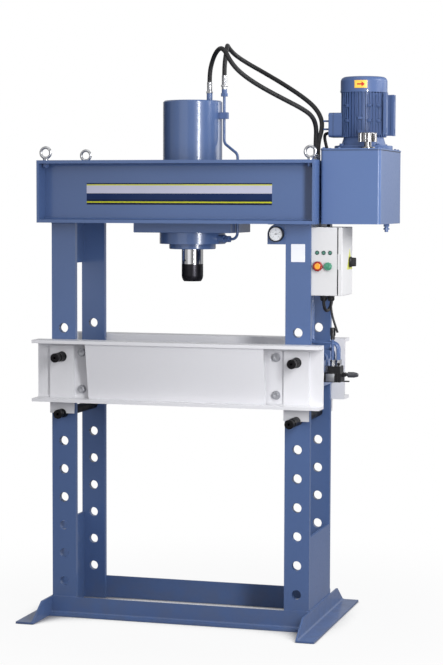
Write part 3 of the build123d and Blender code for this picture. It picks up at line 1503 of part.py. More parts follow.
# Bearing plates on the webs, notched for the lower pins, and the leaning covers between the flanges
cover_top_y = table_web_y + flange_width - cover_inset
with BuildPart() as table_plates:
    for depth_side in (-1, 1):
        for side in (-1, 1):
            with BuildSketch(Plane.XZ.offset(-depth_side * (table_web_y + web_thick + bearing_plate_thick / 2))):
                with Locations((side * upright_x, lower_pin_z)):
                    Rectangle(upright_width, plate_top - lower_pin_z, align=(Align.CENTER, Align.MIN))
                    Circle(pin_diameter / 2 + moving_gap, mode=Mode.SUBTRACT)
                with Locations((side * upright_x, upper_pin_z)):
                    Circle(pin_diameter / 2 + web_hole_gap, mode=Mode.SUBTRACT)
            extrude(amount=bearing_plate_thick / 2, both=True)
        with BuildSketch(Plane.YZ):
            with BuildLine():
                Polyline(
                    (depth_side * cover_top_y, table_top - flange_thick),
                    (depth_side * (cover_top_y - cover_thick), table_top - flange_thick),
                    (depth_side * (cover_top_y - cover_thick - cover_lean), table_bottom + flange_thick),
                    (depth_side * (cover_top_y - cover_lean), table_bottom + flange_thick),
                    close=True,
                )
            make_face()
        extrude(amount=cover_length / 2, both=True)
save(table_plates.part, "table_plates")

# Tie bolts through both webs, each in its spacer tube
with BuildPart() as table_tie_bolts:
    for side in (-1, 1):
        for z in tie_bolt_zs:
            with BuildSketch(Plane.XZ.offset(-table_web_y)):
                with Locations((side * spacer_x, z)):
                    Circle(spacer_diameter / 2)
                    Circle(tie_bolt_diameter / 2 + bolt_gap, mode=Mode.SUBTRACT)
            extrude(amount=2 * table_web_y)
            with BuildSketch(Plane.XZ.offset(-table_web_y - web_thick)):
                with Locations((side * spacer_x, z)):
                    Circle(tie_bolt_diameter / 2)
            extrude(amount=2 * (table_web_y + web_thick))
            for end in (-1, 1):
                with BuildSketch(Plane.XZ.offset(end * (table_web_y + web_thick))):
                    with Locations((side * spacer_x, z)):
                        RegularPolygon(tie_bolt_head / 2, 6, major_radius=False)
                extrude(amount=end * tie_bolt_head_height)
save(table_tie_bolts.part, "table_tie_bolts")

# Four pins, two that carry the table and two that keep it in line
for label, side, z, shift in (
    ("pin_upper_left", -1, upper_pin_z, 0),
    ("pin_upper_right", 1, upper_pin_z, 0),
    ("pin_lower_left", -1, lower_pin_z, pin_shift_left),
    ("pin_lower_right", 1, lower_pin_z, pin_shift_right),
):
    groove_y = -pin_length / 2 + pin_groove_from_end
    with BuildPart() as pin:
        with BuildSketch(Plane.YZ.offset(side * upright_x)):
            with BuildLine():
                Polyline(
                    (shift - pin_length / 2, z),
                    (shift - pin_length / 2, z + pin_diameter / 2 - pin_chamfer),
                    (shift - pin_length / 2 + pin_chamfer, z + pin_diameter / 2),
                    (shift + groove_y - pin_groove_width / 2, z + pin_diameter / 2),
                    (shift + groove_y - pin_groove_width / 2, z + pin_diameter / 2 - pin_groove_depth),
                    (shift + groove_y + pin_groove_width / 2, z + pin_diameter / 2 - pin_groove_depth),
                    (shift + groove_y + pin_groove_width / 2, z + pin_diameter / 2),
                    (shift + pin_length / 2 - pin_chamfer, z + pin_diameter / 2),
                    (shift + pin_length / 2, z + pin_diameter / 2 - pin_chamfer),
                    (shift + pin_length / 2, z),
                    close=True,
                )
            make_face()
        revolve(axis=Axis((side * upright_x, 0, z), (0, 1, 0)))
        with BuildSketch(Plane.XZ.offset(pin_length / 2 - shift)):
            with Locations((side * upright_x, z)):
                Circle(pin_end_hole / 2)
        extrude(amount=-pin_end_hole_depth, mode=Mode.SUBTRACT)
    save(pin.part, label)
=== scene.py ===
# %% [markdown]
# # A hydraulic workshop press
#
# The steel frame, the table, the cylinder and every rigid pipe of this press come from its packed
# CAD model, and they keep their place and shape. This lesson gives them paint, steel, rubber and
# plastic, lays the hoses and cables as soft curves, and adds the small pieces that a solid model
# leaves out: weld beads, bolts, bare plates, the dial, seals and the tops of the buttons.

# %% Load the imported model
import json
from math import cos, pi, radians, sin, sqrt

import bmesh
import bpy
from mathutils import Matrix, Vector


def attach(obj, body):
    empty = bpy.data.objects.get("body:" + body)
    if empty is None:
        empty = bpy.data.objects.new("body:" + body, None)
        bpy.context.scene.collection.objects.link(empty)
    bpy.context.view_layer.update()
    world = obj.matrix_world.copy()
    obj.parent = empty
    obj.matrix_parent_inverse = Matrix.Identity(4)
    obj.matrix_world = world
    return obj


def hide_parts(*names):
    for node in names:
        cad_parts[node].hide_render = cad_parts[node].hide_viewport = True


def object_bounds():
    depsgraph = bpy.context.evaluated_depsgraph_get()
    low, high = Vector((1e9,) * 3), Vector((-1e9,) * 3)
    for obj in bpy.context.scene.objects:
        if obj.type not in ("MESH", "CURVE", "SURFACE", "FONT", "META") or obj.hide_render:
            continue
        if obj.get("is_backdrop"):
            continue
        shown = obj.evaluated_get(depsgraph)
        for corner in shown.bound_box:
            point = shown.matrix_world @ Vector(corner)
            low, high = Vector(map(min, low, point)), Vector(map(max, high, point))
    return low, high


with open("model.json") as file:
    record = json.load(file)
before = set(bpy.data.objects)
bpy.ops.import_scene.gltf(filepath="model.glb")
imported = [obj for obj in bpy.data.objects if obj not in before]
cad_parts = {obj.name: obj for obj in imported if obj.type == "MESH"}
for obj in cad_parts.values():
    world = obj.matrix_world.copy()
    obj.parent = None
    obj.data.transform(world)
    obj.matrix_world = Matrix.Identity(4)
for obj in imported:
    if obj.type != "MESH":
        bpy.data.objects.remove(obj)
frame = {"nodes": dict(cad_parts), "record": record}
cad_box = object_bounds()
scene = bpy.context.scene
print("nodes from the CAD model:", len(frame["nodes"]))

# %% [markdown]
# ## Places are counted as in the workshop drawing
#
# The drawing counts millimetres from the ram's axis, from the middle of the frame's depth and from
# the floor. Blender counts metres from the middle of the whole outline. One small function turns
# the first into the second, so that every number below can be checked with a ruler on the drawing.

# %% Millimetres of the drawing
ram_axis_x = -0.1085
to_frame = Matrix.Translation((ram_axis_x, 0, 0)) @ Matrix.Scale(0.001, 4)
upwards, downwards = (0, 0, 1), (0, 0, -1)
to_operator, to_left, to_right = (0, -1, 0), (-1, 0, 0), (1, 0, 0)


def at(x, y, z):
    """A place of the drawing, in metres of the model's frame."""
    return to_frame @ Vector((x, y, z))


print("the nose of the ram stands at", tuple(round(c, 4) for c in at(0, 0, 1480)))

# %% [markdown]
# ## The camera
#
# The picture was taken from the operator's side, over two metres to the right and a little below
# the press's top. A long lens keeps the columns nearly parallel. The camera could be placed by eye,
# but the pin holes lie on an exact grid, and solving for them puts it right to a tenth of a pixel.

# %% Camera
camera_place = (2.3595, -8.0499, 1.8306)
turned_left, looks_down, rolled = 16.167, 3.927, 0.166
camera_data = bpy.data.cameras.new("camera")
camera_data.lens, camera_data.sensor_width = 103.27, 36.0
camera = bpy.data.objects.new("camera", camera_data)
scene.collection.objects.link(camera)
camera.matrix_world = (
    Matrix.Translation(camera_place)
    @ Matrix.Rotation(radians(turned_left), 4, "Z")
    @ Matrix.Rotation(radians(90 - looks_down), 4, "X")
    @ Matrix.Rotation(radians(rolled), 4, "Z")
)
scene.camera = camera
print("camera stands", round(camera.location.length, 2), "m from the origin")

# %% [markdown]
# ## Hoses and cables
#
# A hydraulic hose is stiff: it leaves its swaged end dead straight and then bends in one wide curve.
# A chain of straight tubes with rounded corners would look like bent wire, so each hose is one
# NURBS curve. The points of its route pull it along without touching it, and its first and last
# runs lie in line with the fittings.

# %% Lay one cord
def lay_cord(name, route, diameter, node):
    """A round cord along a route of the drawing, in place of the CAD tube of that name."""
    curve = bpy.data.curves.new(name, "CURVE")
    curve.dimensions = "3D"
    curve.bevel_depth = diameter / 2 / 1000
    curve.bevel_resolution = 5
    curve.resolution_u = 10
    curve.use_fill_caps = True
    line = curve.splines.new("NURBS")
    line.points.add(len(route) - 1)
    for point, place in zip(line.points, route):
        point.co = (*at(*place), 1.0)
    line.order_u = 3
    line.use_endpoint_u = True
    cord = bpy.data.objects.new(name, curve)
    scene.collection.objects.link(cord)
    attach(cord, "frame")
    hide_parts(node)
    print(name, "has", len(route), "points")
    return cord


# %% Hose to the cylinder's cap
cap_hose_route = [
    (83, -20, 2350), (83, -20, 2389), (97, -33, 2436), (124, -67, 2474), (163, -124, 2491),
    (197, -169, 2471), (222, -194, 2433), (254, -195, 2392), (297, -167, 2353), (363, -151, 2311),
    (446, -130, 2266), (520, -109, 2227), (558, -74, 2196), (567, -39, 2151), (560, -20, 2091),
    (560, -20, 2034),
]
cap_hose = lay_cord("cap_hose_line", cap_hose_route, 20, "cap_hose")
at(*cap_hose_route[0])

# %% Hose to the pipe of the rod side
rod_hose_route = [
    (150, -20, 2378), (150, -20, 2419), (151, -3, 2467), (146, 33, 2502), (135, 78, 2517),
    (127, 125, 2509), (138, 176, 2484), (182, 215, 2450), (265, 215, 2404), (379, 130, 2345),
    (472, 105, 2287), (531, 80, 2242), (566, 60, 2193), (574, 40, 2145), (560, 20, 2084),
    (560, 20, 2034),
]
rod_hose = lay_cord("rod_hose_line", rod_hose_route, 20, "rod_hose")
at(*rod_hose_route[0])

# %% Cable to the motor, and the supply cable that the picture cuts off
motor_cable_route = [
    (618, -100, 1414), (618, -100, 1394), (621, -92, 1373), (625, -72, 1363), (630, -47, 1368),
    (632, -16, 1388), (627, 18, 1415), (619, 34, 1462), (612, 37, 1530), (608, 34, 1610),
    (606, 35, 1700), (604, 44, 1800), (603, 58, 1895), (601, 68, 1985), (593, 71, 2045),
    (582, 71, 2085), (577, 70, 2113), (583, 70, 2128), (602, 70, 2128),
]
motor_cable = lay_cord("motor_cable_line", motor_cable_route, 14, "motor_conduit")
at(*motor_cable_route[0])
supply_cable_route = [
    (650, -100, 1414), (650, -100, 1392), (653, -102, 1359), (664, -102, 1319), (680, -100, 1273),
]
supply_cable = lay_cord("supply_cable_line", supply_cable_route, 10, "supply_cable")
at(*supply_cable_route[0])

# %% [markdown]
# ## Materials as small sums
#
# A finish is easier to read as a sum than as a web of boxes. One class wraps a socket, so that plus,
# minus and times add Math nodes by themselves. A second class holds the material, and its one
# method sets up any other node, with its settings first and then the values that feed it.

# %% Wire and Finish
class Wire:
    """A value or a colour on its way through a material."""

    def __init__(self, finish, socket):
        self.finish, self.socket = finish, socket

    def sum(self, operation, *values):
        """One Math node of that operation on the values."""
        return self.finish.add("ShaderNodeMath", {"operation": operation}, dict(enumerate(values)))

    def __add__(self, other):
        return self.sum("ADD", self, other)

    def __radd__(self, other):
        return self.sum("ADD", other, self)

    def __sub__(self, other):
        return self.sum("SUBTRACT", self, other)

    def __rsub__(self, other):
        return self.sum("SUBTRACT", other, self)

    def __mul__(self, other):
        return self.sum("MULTIPLY", self, other)

    def __rmul__(self, other):
        return self.sum("MULTIPLY", other, self)

    def __truediv__(self, other):
        return self.sum("DIVIDE", self, other)

    def __rtruediv__(self, other):
        return self.sum("DIVIDE", other, self)

    def __pow__(self, other):
        return self.sum("POWER", self, other)

    def __gt__(self, other):
        return self.sum("GREATER_THAN", self, other)

    def __lt__(self, other):
        return self.sum("LESS_THAN", self, other)

    def __abs__(self):
        return self.sum("ABSOLUTE", self)

    def __round__(self):
        return self.sum("ROUND", self)

    def sine(self):
        return self.sum("SINE", self)

    def larger(self, other):
        return self.sum("MAXIMUM", self, other)

    def angle_from(self, right):
        """The angle round the origin of a point that lies self back and that far to the right."""
        return self.sum("ARCTAN2", self, right)

    def rise(self, low, high):
        """0 at low, 1 at high and smooth between; high may be the smaller of the two."""
        return self.finish.add(
            "ShaderNodeMapRange",
            {"interpolation_type": "SMOOTHSTEP"},
            {"Value": self, "From Min": low, "From Max": high},
        )


class Finish:
    """One procedural material."""

    def __init__(self, name):
        self.material = bpy.data.materials.new(name)
        self.material.use_nodes = True
        self.tree = self.material.node_tree
        self.tree.nodes.clear()
        self.where = self.add("ShaderNodeTexCoord", output="Object")

    def add(self, kind, settings=None, values=None, output=0):
        """Adds a node. Settings are its own choices, values feed its sockets."""
        node = self.tree.nodes.new(kind)
        for key, value in (settings or {}).items():
            if key == "stops":
                stops = node.color_ramp.elements
                stops[-1].position = value[-1][0]
                for position, color in value[1:-1]:
                    stops.new(position)
                for k, (position, color) in enumerate(value):
                    stops[k].color = color
            elif key == "ramp":
                node.color_ramp.interpolation = value
            else:
                setattr(node, key, value)
        for key, value in (values or {}).items():
            if isinstance(value, Wire):
                self.tree.links.new(value.socket, node.inputs[key])
            else:
                node.inputs[key].default_value = value
        if isinstance(output, tuple):
            return tuple(Wire(self, node.outputs[o]) for o in output)
        return Wire(self, node.outputs[output])

    def axes(self):
        """The three coordinates of the point, in metres of the model's frame."""
        return self.add("ShaderNodeSeparateXYZ", None, {0: self.where}, ("X", "Y", "Z"))

    def noise(self, per_metre, detail=2.0, stretch=(1, 1, 1)):
        """Cloudy pattern of about that many spots a metre, drawn out along an axis if asked."""
        place = self.where
        if stretch != (1, 1, 1):
            place = self.add("ShaderNodeMapping", None, {"Vector": place, "Scale": stretch})
        return self.add("ShaderNodeTexNoise", None, {"Vector": place, "Scale": per_metre, "Detail": detail})

    def mix(self, share, first, second):
        """The first colour, turning into the second as share goes from 0 to 1."""
        return self.add("ShaderNodeMix", {"data_type": "RGBA"}, {0: share, 6: first, 7: second}, 2)

    def bump(self, height, depth):
        """Normal of a surface whose height goes from 0 to depth, in metres."""
        return self.add("ShaderNodeBump", None, {"Height": height, "Distance": depth}, "Normal")

    def surface(self, color, roughness, metallic=0.0, normal=None, **constants):
        """Ends the material in one Principled shader."""
        values = {"Base Color": color, "Roughness": roughness, "Metallic": metallic}
        for key, value in constants.items():
            values[key.replace("_", " ").title().replace("Ior", "IOR")] = value
        if normal is not None:
            values["Normal"] = normal
        shader = self.add("ShaderNodeBsdfPrincipled", None, values, "BSDF")
        self.end(shader)
        return self.material

    def end(self, shader):
        """Joins a shader to the material's output."""
        output = self.tree.nodes.new("ShaderNodeOutputMaterial")
        self.tree.links.new(shader.socket, output.inputs["Surface"])


def shade(red, green, blue):
    """A colour as a picture shows it, 0 to 255, turned into the light it stands for."""
    shown = (red / 255, green / 255, blue / 255)
    linear = [c / 12.92 if c <= 0.04045 else ((c + 0.055) / 1.055) ** 2.4 for c in shown]
    return (*linear, 1.0)


print("the picture's middle grey is", round(shade(128, 128, 128)[0], 3), "in linear light")

# %% [markdown]
# ## Enamel
#
# The frame is sprayed with a semi-gloss enamel. Up close such paint is not flat: it has a fine
# orange peel, its tone drifts a little from plate to plate, and it takes a dull film low down where
# the broom goes. The same recipe, with other colours and another gloss, serves the table, the tank
# and the cabinet, so it is one function.

# %% Enamel
frame_color, frame_deep = shade(80, 104, 150), shade(70, 93, 138)
film_color, film_top, film_share = shade(96, 98, 104), 0.22, 0.25
enamel_sheen = {"coat_roughness": 0.16, "specular_ior_level": 0.35}


def sprayed(finish, height, color, deep):
    """The tone that all sprayed plates share, with the drift, the specks and the film in it."""
    drift = finish.noise(1.7, 2.0).rise(0.35, 0.65)
    speck = finish.noise(90.0, 3.0).rise(0.45, 0.75)
    tone = finish.mix(drift * 0.35 + speck * 0.08, color, deep)
    film = height.rise(film_top, 0.0) * finish.noise(14.0, 4.0).rise(0.3, 0.7) * film_share
    return finish.mix(film, tone, film_color), drift, speck, film


def enamel(name, color, deep, roughness=0.34, coat=0.5, peel=0.00004, grain=320.0):
    """Sprayed paint: drifting tone, orange peel and a dull film near the floor."""
    finish = Finish(name)
    tone, drift, speck, film = sprayed(finish, finish.axes()[2], color, deep)
    gloss = roughness + speck * 0.06 + film * 0.3 + drift * 0.04
    skin = finish.bump(finish.noise(grain, 2.0), peel)
    return finish.surface(tone, gloss, 0.0, skin, coat_weight=coat, **enamel_sheen)


blue = enamel("frame_enamel", frame_color, frame_deep)
tank_blue = enamel("tank_enamel", shade(84, 108, 154), shade(76, 99, 146), roughness=0.36)
motor_blue = enamel(
    "motor_enamel", shade(76, 98, 143), shade(62, 83, 126), roughness=0.44, coat=0.15, peel=0.0001,
    grain=240.0,
)
table_white = enamel("table_enamel", shade(226, 226, 230), shade(214, 214, 219), roughness=0.36, coat=0.25)
cabinet_white = enamel(
    "cabinet_powder", shade(214, 214, 215), shade(206, 206, 209), roughness=0.45, coat=0.08, peel=0.00008,
    grain=620.0,
)
barrel_blue = enamel("cylinder_enamel", frame_color, frame_deep, roughness=0.3, coat=1.0, peel=0.00003)
print("enamels:", blue.name, tank_blue.name, motor_blue.name, table_white.name, cabinet_white.name)

# %% [markdown]
# ## Enamel of the columns
#
# Pins are pushed through the holes of the columns for years, and they rub the paint off the rims.
# The holes stand at even steps, so one sum finds the nearest hole: the height is folded into one
# step, and the distance from the hole's middle follows. Within two millimetres of the rim the
# bare, darkened steel shows through in patches.

# %% Column enamel with rubbed rims
hole_row_x, first_hole_z, hole_pitch = 0.530, 0.150, 0.125
rim_start, rim_bare, rim_end = 0.0203, 0.0210, 0.0222
pins_used_from, pins_used_to = 0.5, 1.33


def column_enamel():
    """The frame's enamel with the bare steel round the holes that pins go through."""
    finish = Finish("column_enamel")
    x, _, z = finish.axes()
    across = abs(abs(x - ram_axis_x) - hole_row_x)
    step = (z - first_hole_z) / hole_pitch
    up = abs(step - round(step)) * hole_pitch
    away = (across * across + up * up) ** 0.5
    rim = away.rise(rim_end, rim_bare) * (away > rim_start) * (z < pins_used_to) * (z > pins_used_from)
    rubbed = rim * finish.noise(150.0, 3.0).rise(0.46, 0.56)
    tone, _, speck, film = sprayed(finish, z, frame_color, frame_deep)
    tone = finish.mix(rubbed, tone, shade(72, 74, 82))
    gloss = 0.3 + speck * 0.06 + film * 0.3 + rubbed * 0.12
    skin = finish.bump(finish.noise(380.0, 2.0) - rubbed * 0.8, 0.00005)
    return finish.surface(tone, gloss, rubbed * 0.7, skin, coat_weight=0.5, **enamel_sheen)


column_blue = column_enamel()
print("column finish:", column_blue.name)

# %% [markdown]
# ## Bright metals
#
# The ram is ground and hard-chromed: a mirror with hair-fine rings round its axis. Bolts and
# fittings are zinc plated, which is duller and slightly cloudy. The pins are blackened in hot oil.
# All are the same idea: a metal whose roughness and tiny bumps follow the way it was made.

# %% Steel recipes
turned_rings, drawn_along_y, brushed_across = (0.02, 0.02, 1.0), (1.0, 0.05, 1.0), (1.0, 1.0, 0.06)


def metal(name, color, deep, roughness, cloud=30.0, streak=None, streak_depth=0.000004, patchy=0.15):
    """A metal with a cloudy tone and, if asked, fine tool marks drawn out along an axis."""
    finish = Finish(name)
    clouds = finish.noise(cloud, 3.0).rise(0.3, 0.75)
    marks = finish.noise(900.0, 2.0, streak) if streak else finish.noise(700.0, 3.0)
    tone = finish.mix(clouds * 0.7, color, deep)
    gloss = roughness + clouds * patchy + marks * 0.05
    return finish.surface(tone, gloss, 1.0, finish.bump(marks, streak_depth))


chromed_rod = metal(
    "chromed_rod", shade(222, 222, 224), shade(206, 206, 210), 0.06, cloud=4.0, streak=turned_rings,
    streak_depth=0.000002, patchy=0.04,
)
black_nose = metal(
    "blackened_nose", shade(58, 57, 62), shade(40, 40, 44), 0.3, cloud=12.0, streak=(0.05, 0.05, 1.0),
    streak_depth=0.00001, patchy=0.1,
)
pin_black = metal(
    "oil_black", shade(46, 45, 47), shade(30, 30, 32), 0.38, cloud=25.0, streak=drawn_along_y,
    streak_depth=0.00001,
)
zinc = metal(
    "zinc_plate", shade(206, 207, 210), shade(172, 174, 180), 0.2, cloud=60.0, streak_depth=0.000008,
    patchy=0.2,
)
dull_zinc = metal(
    "dull_zinc", shade(196, 197, 202), shade(160, 162, 168), 0.42, cloud=70.0, streak_depth=0.00001
)
polished = metal("polished_chrome", shade(158, 157, 158), shade(126, 125, 128), 0.14, patchy=0.1)
dark_case = metal(
    "gauge_case_steel", shade(70, 71, 76), shade(52, 53, 58), 0.25, streak_depth=0.000006, patchy=0.12
)
raw_iron = metal(
    "cast_iron", shade(92, 92, 94), shade(66, 66, 68), 0.55, cloud=90.0, streak_depth=0.00008, patchy=0.2
)
brushed_tin = metal(
    "brushed_plate", shade(188, 190, 194), shade(168, 170, 176), 0.3, cloud=40.0, streak=brushed_across,
    streak_depth=0.00001, patchy=0.1,
)
print("metals:", chromed_rod.name, black_nose.name, pin_black.name, zinc.name, polished.name)

# %% [markdown]
# ## Rubber and plastic
#
# The hoses have a black cover that keeps the print of the cloth it was cured in, a very fine
# crossed weave. Plastics differ in gloss: the knob and the glands are matt, the lever's grip and
# the buttons shine. Each gets the grain of its mould, far smaller than a millimetre.

# %% Rubber and moulded plastic
def hose_cover(name, color, worn, weave):
    """Rubber cured in cloth: two crossed sets of fine ridges, and a slightly dusty tone."""
    finish = Finish(name)
    x, _, z = finish.axes()
    ridges = ((x + z) * weave).sine() * ((x - z) * weave).sine()
    dust = finish.noise(26.0, 4.0).rise(0.35, 0.8)
    tone = finish.mix(dust * 0.5 + ridges * 0.1, color, worn)
    gloss = 0.44 + dust * 0.18
    return finish.surface(tone, gloss, 0.0, finish.bump(ridges, 0.00015), specular_ior_level=0.45)


def plastic(name, color, deep, roughness, grain=900.0, depth=0.00003, **constants):
    """Moulded plastic with the grain of its mould."""
    finish = Finish(name)
    tone = finish.mix(finish.noise(18.0, 2.0).rise(0.3, 0.8) * 0.6, color, deep)
    grains = finish.noise(grain, 2.0)
    return finish.surface(tone, roughness + grains * 0.05, 0.0, finish.bump(grains, depth), **constants)


rubber = hose_cover("hose_cover", shade(24, 24, 26), shade(40, 39, 42), 2600.0)
cable_skin = hose_cover("cable_skin", shade(24, 24, 28), shade(40, 40, 45), 1500.0)
valve_black = plastic(
    "valve_enamel", shade(18, 18, 21), shade(12, 12, 15), 0.26, 500.0, 0.00006, coat_weight=0.3,
    coat_roughness=0.2,
)
matt_black = plastic("matt_black_plastic", shade(24, 24, 28), shade(16, 16, 20), 0.42)
grip_gloss = plastic(
    "grip_plastic", shade(62, 63, 68), shade(44, 45, 50), 0.16, 300.0, 0.00001, coat_weight=0.6,
    coat_roughness=0.05,
)
stop_red = plastic("stop_red", shade(158, 32, 20), shade(128, 24, 16), 0.22, coat_weight=0.4)
stop_amber = plastic("stop_amber", shade(250, 170, 52), shade(236, 146, 36), 0.25, coat_weight=0.4)
start_green = plastic("start_green", shade(70, 142, 114), shade(56, 124, 98), 0.22, coat_weight=0.4)
seal_black = plastic("seal_rubber", shade(22, 22, 26), shade(15, 15, 18), 0.6)
print("rubber and plastics:", rubber.name, cable_skin.name, valve_black.name, grip_gloss.name)

# %% [markdown]
# ## Lamps and button rings
#
# The three signal lamps and the two rings round the buttons are one CAD node, because they are all
# pressed into the same sheet. The lamps stand higher, so a sum on the height tells the two apart.
# Each lamp has a painted highlight, a lighter green in its middle, and a dark rim.

# %% Lamp lenses over button rings
first_lamp_x, lamp_pitch, lamp_row_z = 0.610, 0.028, 1.616
lamps_above = 1.590
lens_radius, lens_highlight_radius, bezel_start, bezel_end = 0.0065, 0.002, 0.0066, 0.0074


def lamps_with_painted_highlight_and_rings():
    """Green lenses with a painted highlight in the middle above a height, dark rings below it."""
    finish = Finish("lamps_with_painted_highlight_and_rings")
    x, _, z = finish.axes()
    is_lamp = z > lamps_above
    step = (x - (first_lamp_x + ram_axis_x)) / lamp_pitch
    across = (step - round(step)) * lamp_pitch
    up = z - lamp_row_z
    away = (across * across + up * up) ** 0.5
    # The lighter green in the middle of each lens is a painted highlight, not a lit lamp.
    lens = finish.mix(away.rise(lens_radius, lens_highlight_radius), shade(30, 82, 70), shade(66, 128, 110))
    lens = finish.mix(away.rise(bezel_start, bezel_end), lens, shade(40, 66, 62))
    ring = finish.mix(finish.noise(300.0, 2.0) * 0.4, shade(60, 62, 66), shade(44, 46, 50))
    tone = finish.mix(is_lamp, ring, lens)
    grain = finish.bump(finish.noise(700.0), 0.00001)
    return finish.surface(tone, 0.3 - is_lamp * 0.14, 0.0, grain, coat_weight=0.4)


lamp_finish = lamps_with_painted_highlight_and_rings()
print("lamp finish:", lamp_finish.name)

# %% [markdown]
# ## Painted and bright in one node
#
# Some pieces were fitted before the press was sprayed. The threads of the eye bolts and the unions
# of the rod-side pipe carry the frame's blue, and the rest of their nodes is bright zinc, so one
# finish joins both with a hard line at the heights where the spray stopped.

# %% Enamel between two heights, zinc elsewhere
def half_painted(name, painted_from, painted_to):
    """The frame's blue between two heights and bright zinc elsewhere."""
    finish = Finish(name)
    height = finish.axes()[2]
    painted = (height > painted_from) * (height < painted_to)
    clouds = finish.noise(60.0, 3.0).rise(0.3, 0.75)
    steel = finish.mix(clouds * 0.7, shade(206, 207, 210), shade(168, 170, 176))
    tone = finish.mix(painted, steel, shade(78, 101, 148))
    skin = finish.bump(finish.noise(600.0, 2.0), 0.00001)
    return finish.surface(tone, 0.2 + clouds * 0.15 + painted * 0.14, 1.0 - painted, skin)


painted_unions = half_painted("painted_unions", painted_from=1.3, painted_to=2.318)
painted_threads = half_painted("painted_threads", painted_from=0.0, painted_to=2.006)
print("half painted:", painted_unions.name, painted_threads.name)

# %% [markdown]
# ## Dress the CAD nodes
#
# The record names a material slot for every node. Most nodes take the finish of their slot, and
# the few that differ within a slot are named below it: the columns with their rubbed rims, the
# bright ram against its blackened nose.

# %% Finishes by slot
slot_finish = {
    "blue_paint": blue, "tank_paint": tank_blue, "motor_paint": motor_blue, "table_paint": table_white,
    "cabinet_paint": cabinet_white, "dark_steel": pin_black, "valve_black": valve_black,
    "ground_steel": chromed_rod, "plated_steel": zinc, "cast_pump": raw_iron, "chromed_cap": polished,
    "hose_rubber": rubber, "black_plastic": matt_black, "grip_plastic": grip_gloss,
    "gauge_steel": dark_case, "lamp_plastic": lamp_finish, "red_plastic": stop_red,
    "green_plastic": start_green,
}
node_finish = {
    "upright_front_left": column_blue, "upright_front_right": column_blue,
    "upright_rear_left": column_blue, "upright_rear_right": column_blue,
    "cylinder_barrel": barrel_blue, "cylinder_cap": barrel_blue, "cylinder_gland": barrel_blue,
    "ram_nose": black_nose, "filler_neck": polished, "table_tie_bolts": dull_zinc,
    "pipe_fittings": painted_unions, "eye_bolts": painted_threads,
}
slot_of = {part["node"]: part["material_slot"] for part in frame["record"]["subparts"]}


def dress(node, material):
    """Gives a CAD node its finish in every material slot it has."""
    if not node.material_slots:
        node.data.materials.append(material)
    for place in node.material_slots:
        place.material = material


for name, node in frame["nodes"].items():
    dress(node, node_finish.get(name, slot_finish[slot_of[name]]))
cord_skins = {cap_hose: rubber, rod_hose: rubber, motor_cable: cable_skin, supply_cable: cable_skin}
for cord, skin in cord_skins.items():
    cord.data.materials.append(skin)
print("dressed", len(frame["nodes"]), "nodes and", len(cord_skins), "cords")

# %% [markdown]
# ## A few shapes to build with
#
# The small pieces are turned, sawn or bent on the real press, and a handful of helpers copies that:
# a profile spun round an axis, a block with broken edges, a sheet with round corners, a six-sided
# nut. Each adds to one bmesh in millimetres of the drawing, and the last helper turns the finished
# mesh into a piece.

# %% Shape helpers
def stand(place, direction=upwards, turn=0.0):
    """Puts a shape drawn round +Z on its place, with its top towards a direction."""
    lean = Vector(direction).to_track_quat("Z", "Y").to_matrix().to_4x4()
    return Matrix.Translation(place) @ lean @ Matrix.Rotation(radians(turn), 4, "Z")


def turned(shape, profile, place, direction=upwards, steps=32, closed=False):
    """A profile of (radius, height) points, spun round its axis."""
    before = set(shape.verts)
    points = [shape.verts.new((radius, 0, height)) for radius, height in profile]
    pairs = list(zip(points, points[1:])) + ([(points[-1], points[0])] if closed else [])
    edges = [shape.edges.new(pair) for pair in pairs]
    bmesh.ops.spin(
        shape, geom=points + edges, cent=(0, 0, 0), axis=(0, 0, 1), angle=2 * pi, steps=steps, use_merge=True
    )
    made = [v for v in shape.verts if v not in before]
    bmesh.ops.remove_doubles(shape, verts=made, dist=0.001)
    made = [v for v in shape.verts if v not in before]
    bmesh.ops.transform(shape, matrix=stand(place, direction), verts=made)


def soften(shape, edges, offset, segments=2):
    """Rounds edges with a bevel."""
    bmesh.ops.bevel(
        shape, geom=edges, offset=offset, offset_type="OFFSET", segments=segments, profile=0.5,
        affect="EDGES", material=-1, clamp_overlap=True,
    )


def edges_of(verts):
    """The edges that meet in these vertices."""
    return list(dict.fromkeys(e for v in verts for e in v.link_edges))


def block(shape, low, high, edge=0.0, segments=2, around=None):
    """A block between two corners with rounded edges, turned and moved by a matrix if one is given."""
    before = set(shape.verts)
    low, high = Vector(low), Vector(high)
    size = Matrix.Diagonal((*(high - low), 1.0))
    made = bmesh.ops.create_cube(shape, size=1.0, matrix=Matrix.Translation((low + high) / 2) @ size)
    if edge:
        soften(shape, edges_of(made["verts"]), edge, segments)
    if around is not None:
        bmesh.ops.transform(shape, matrix=around, verts=[v for v in shape.verts if v not in before])


def rounded_sheet(shape, center, size, corner, segments):
    """A sheet with round corners: a bevel of the four short edges, which cross its thickness."""
    bmesh.ops.create_cube(shape, size=1.0, matrix=Matrix.Translation(center) @ Matrix.Diagonal((*size, 1)))
    thin = size.index(min(size))
    crossing = [e for e in shape.edges if abs(e.verts[0].co[thin] - e.verts[1].co[thin]) > size[thin] / 2]
    soften(shape, crossing, corner, segments)


def nut(shape, place, direction, across, height, edge=0.8, turn=0.0):
    """A six-sided nut or bolt head with broken edges."""
    made = bmesh.ops.create_cone(
        shape, cap_ends=True, cap_tris=False, segments=6, radius1=across / sqrt(3), radius2=across / sqrt(3),
        depth=height, matrix=stand(place, direction, turn) @ Matrix.Translation((0, 0, height / 2)),
    )
    soften(shape, edges_of(made["verts"]), edge)


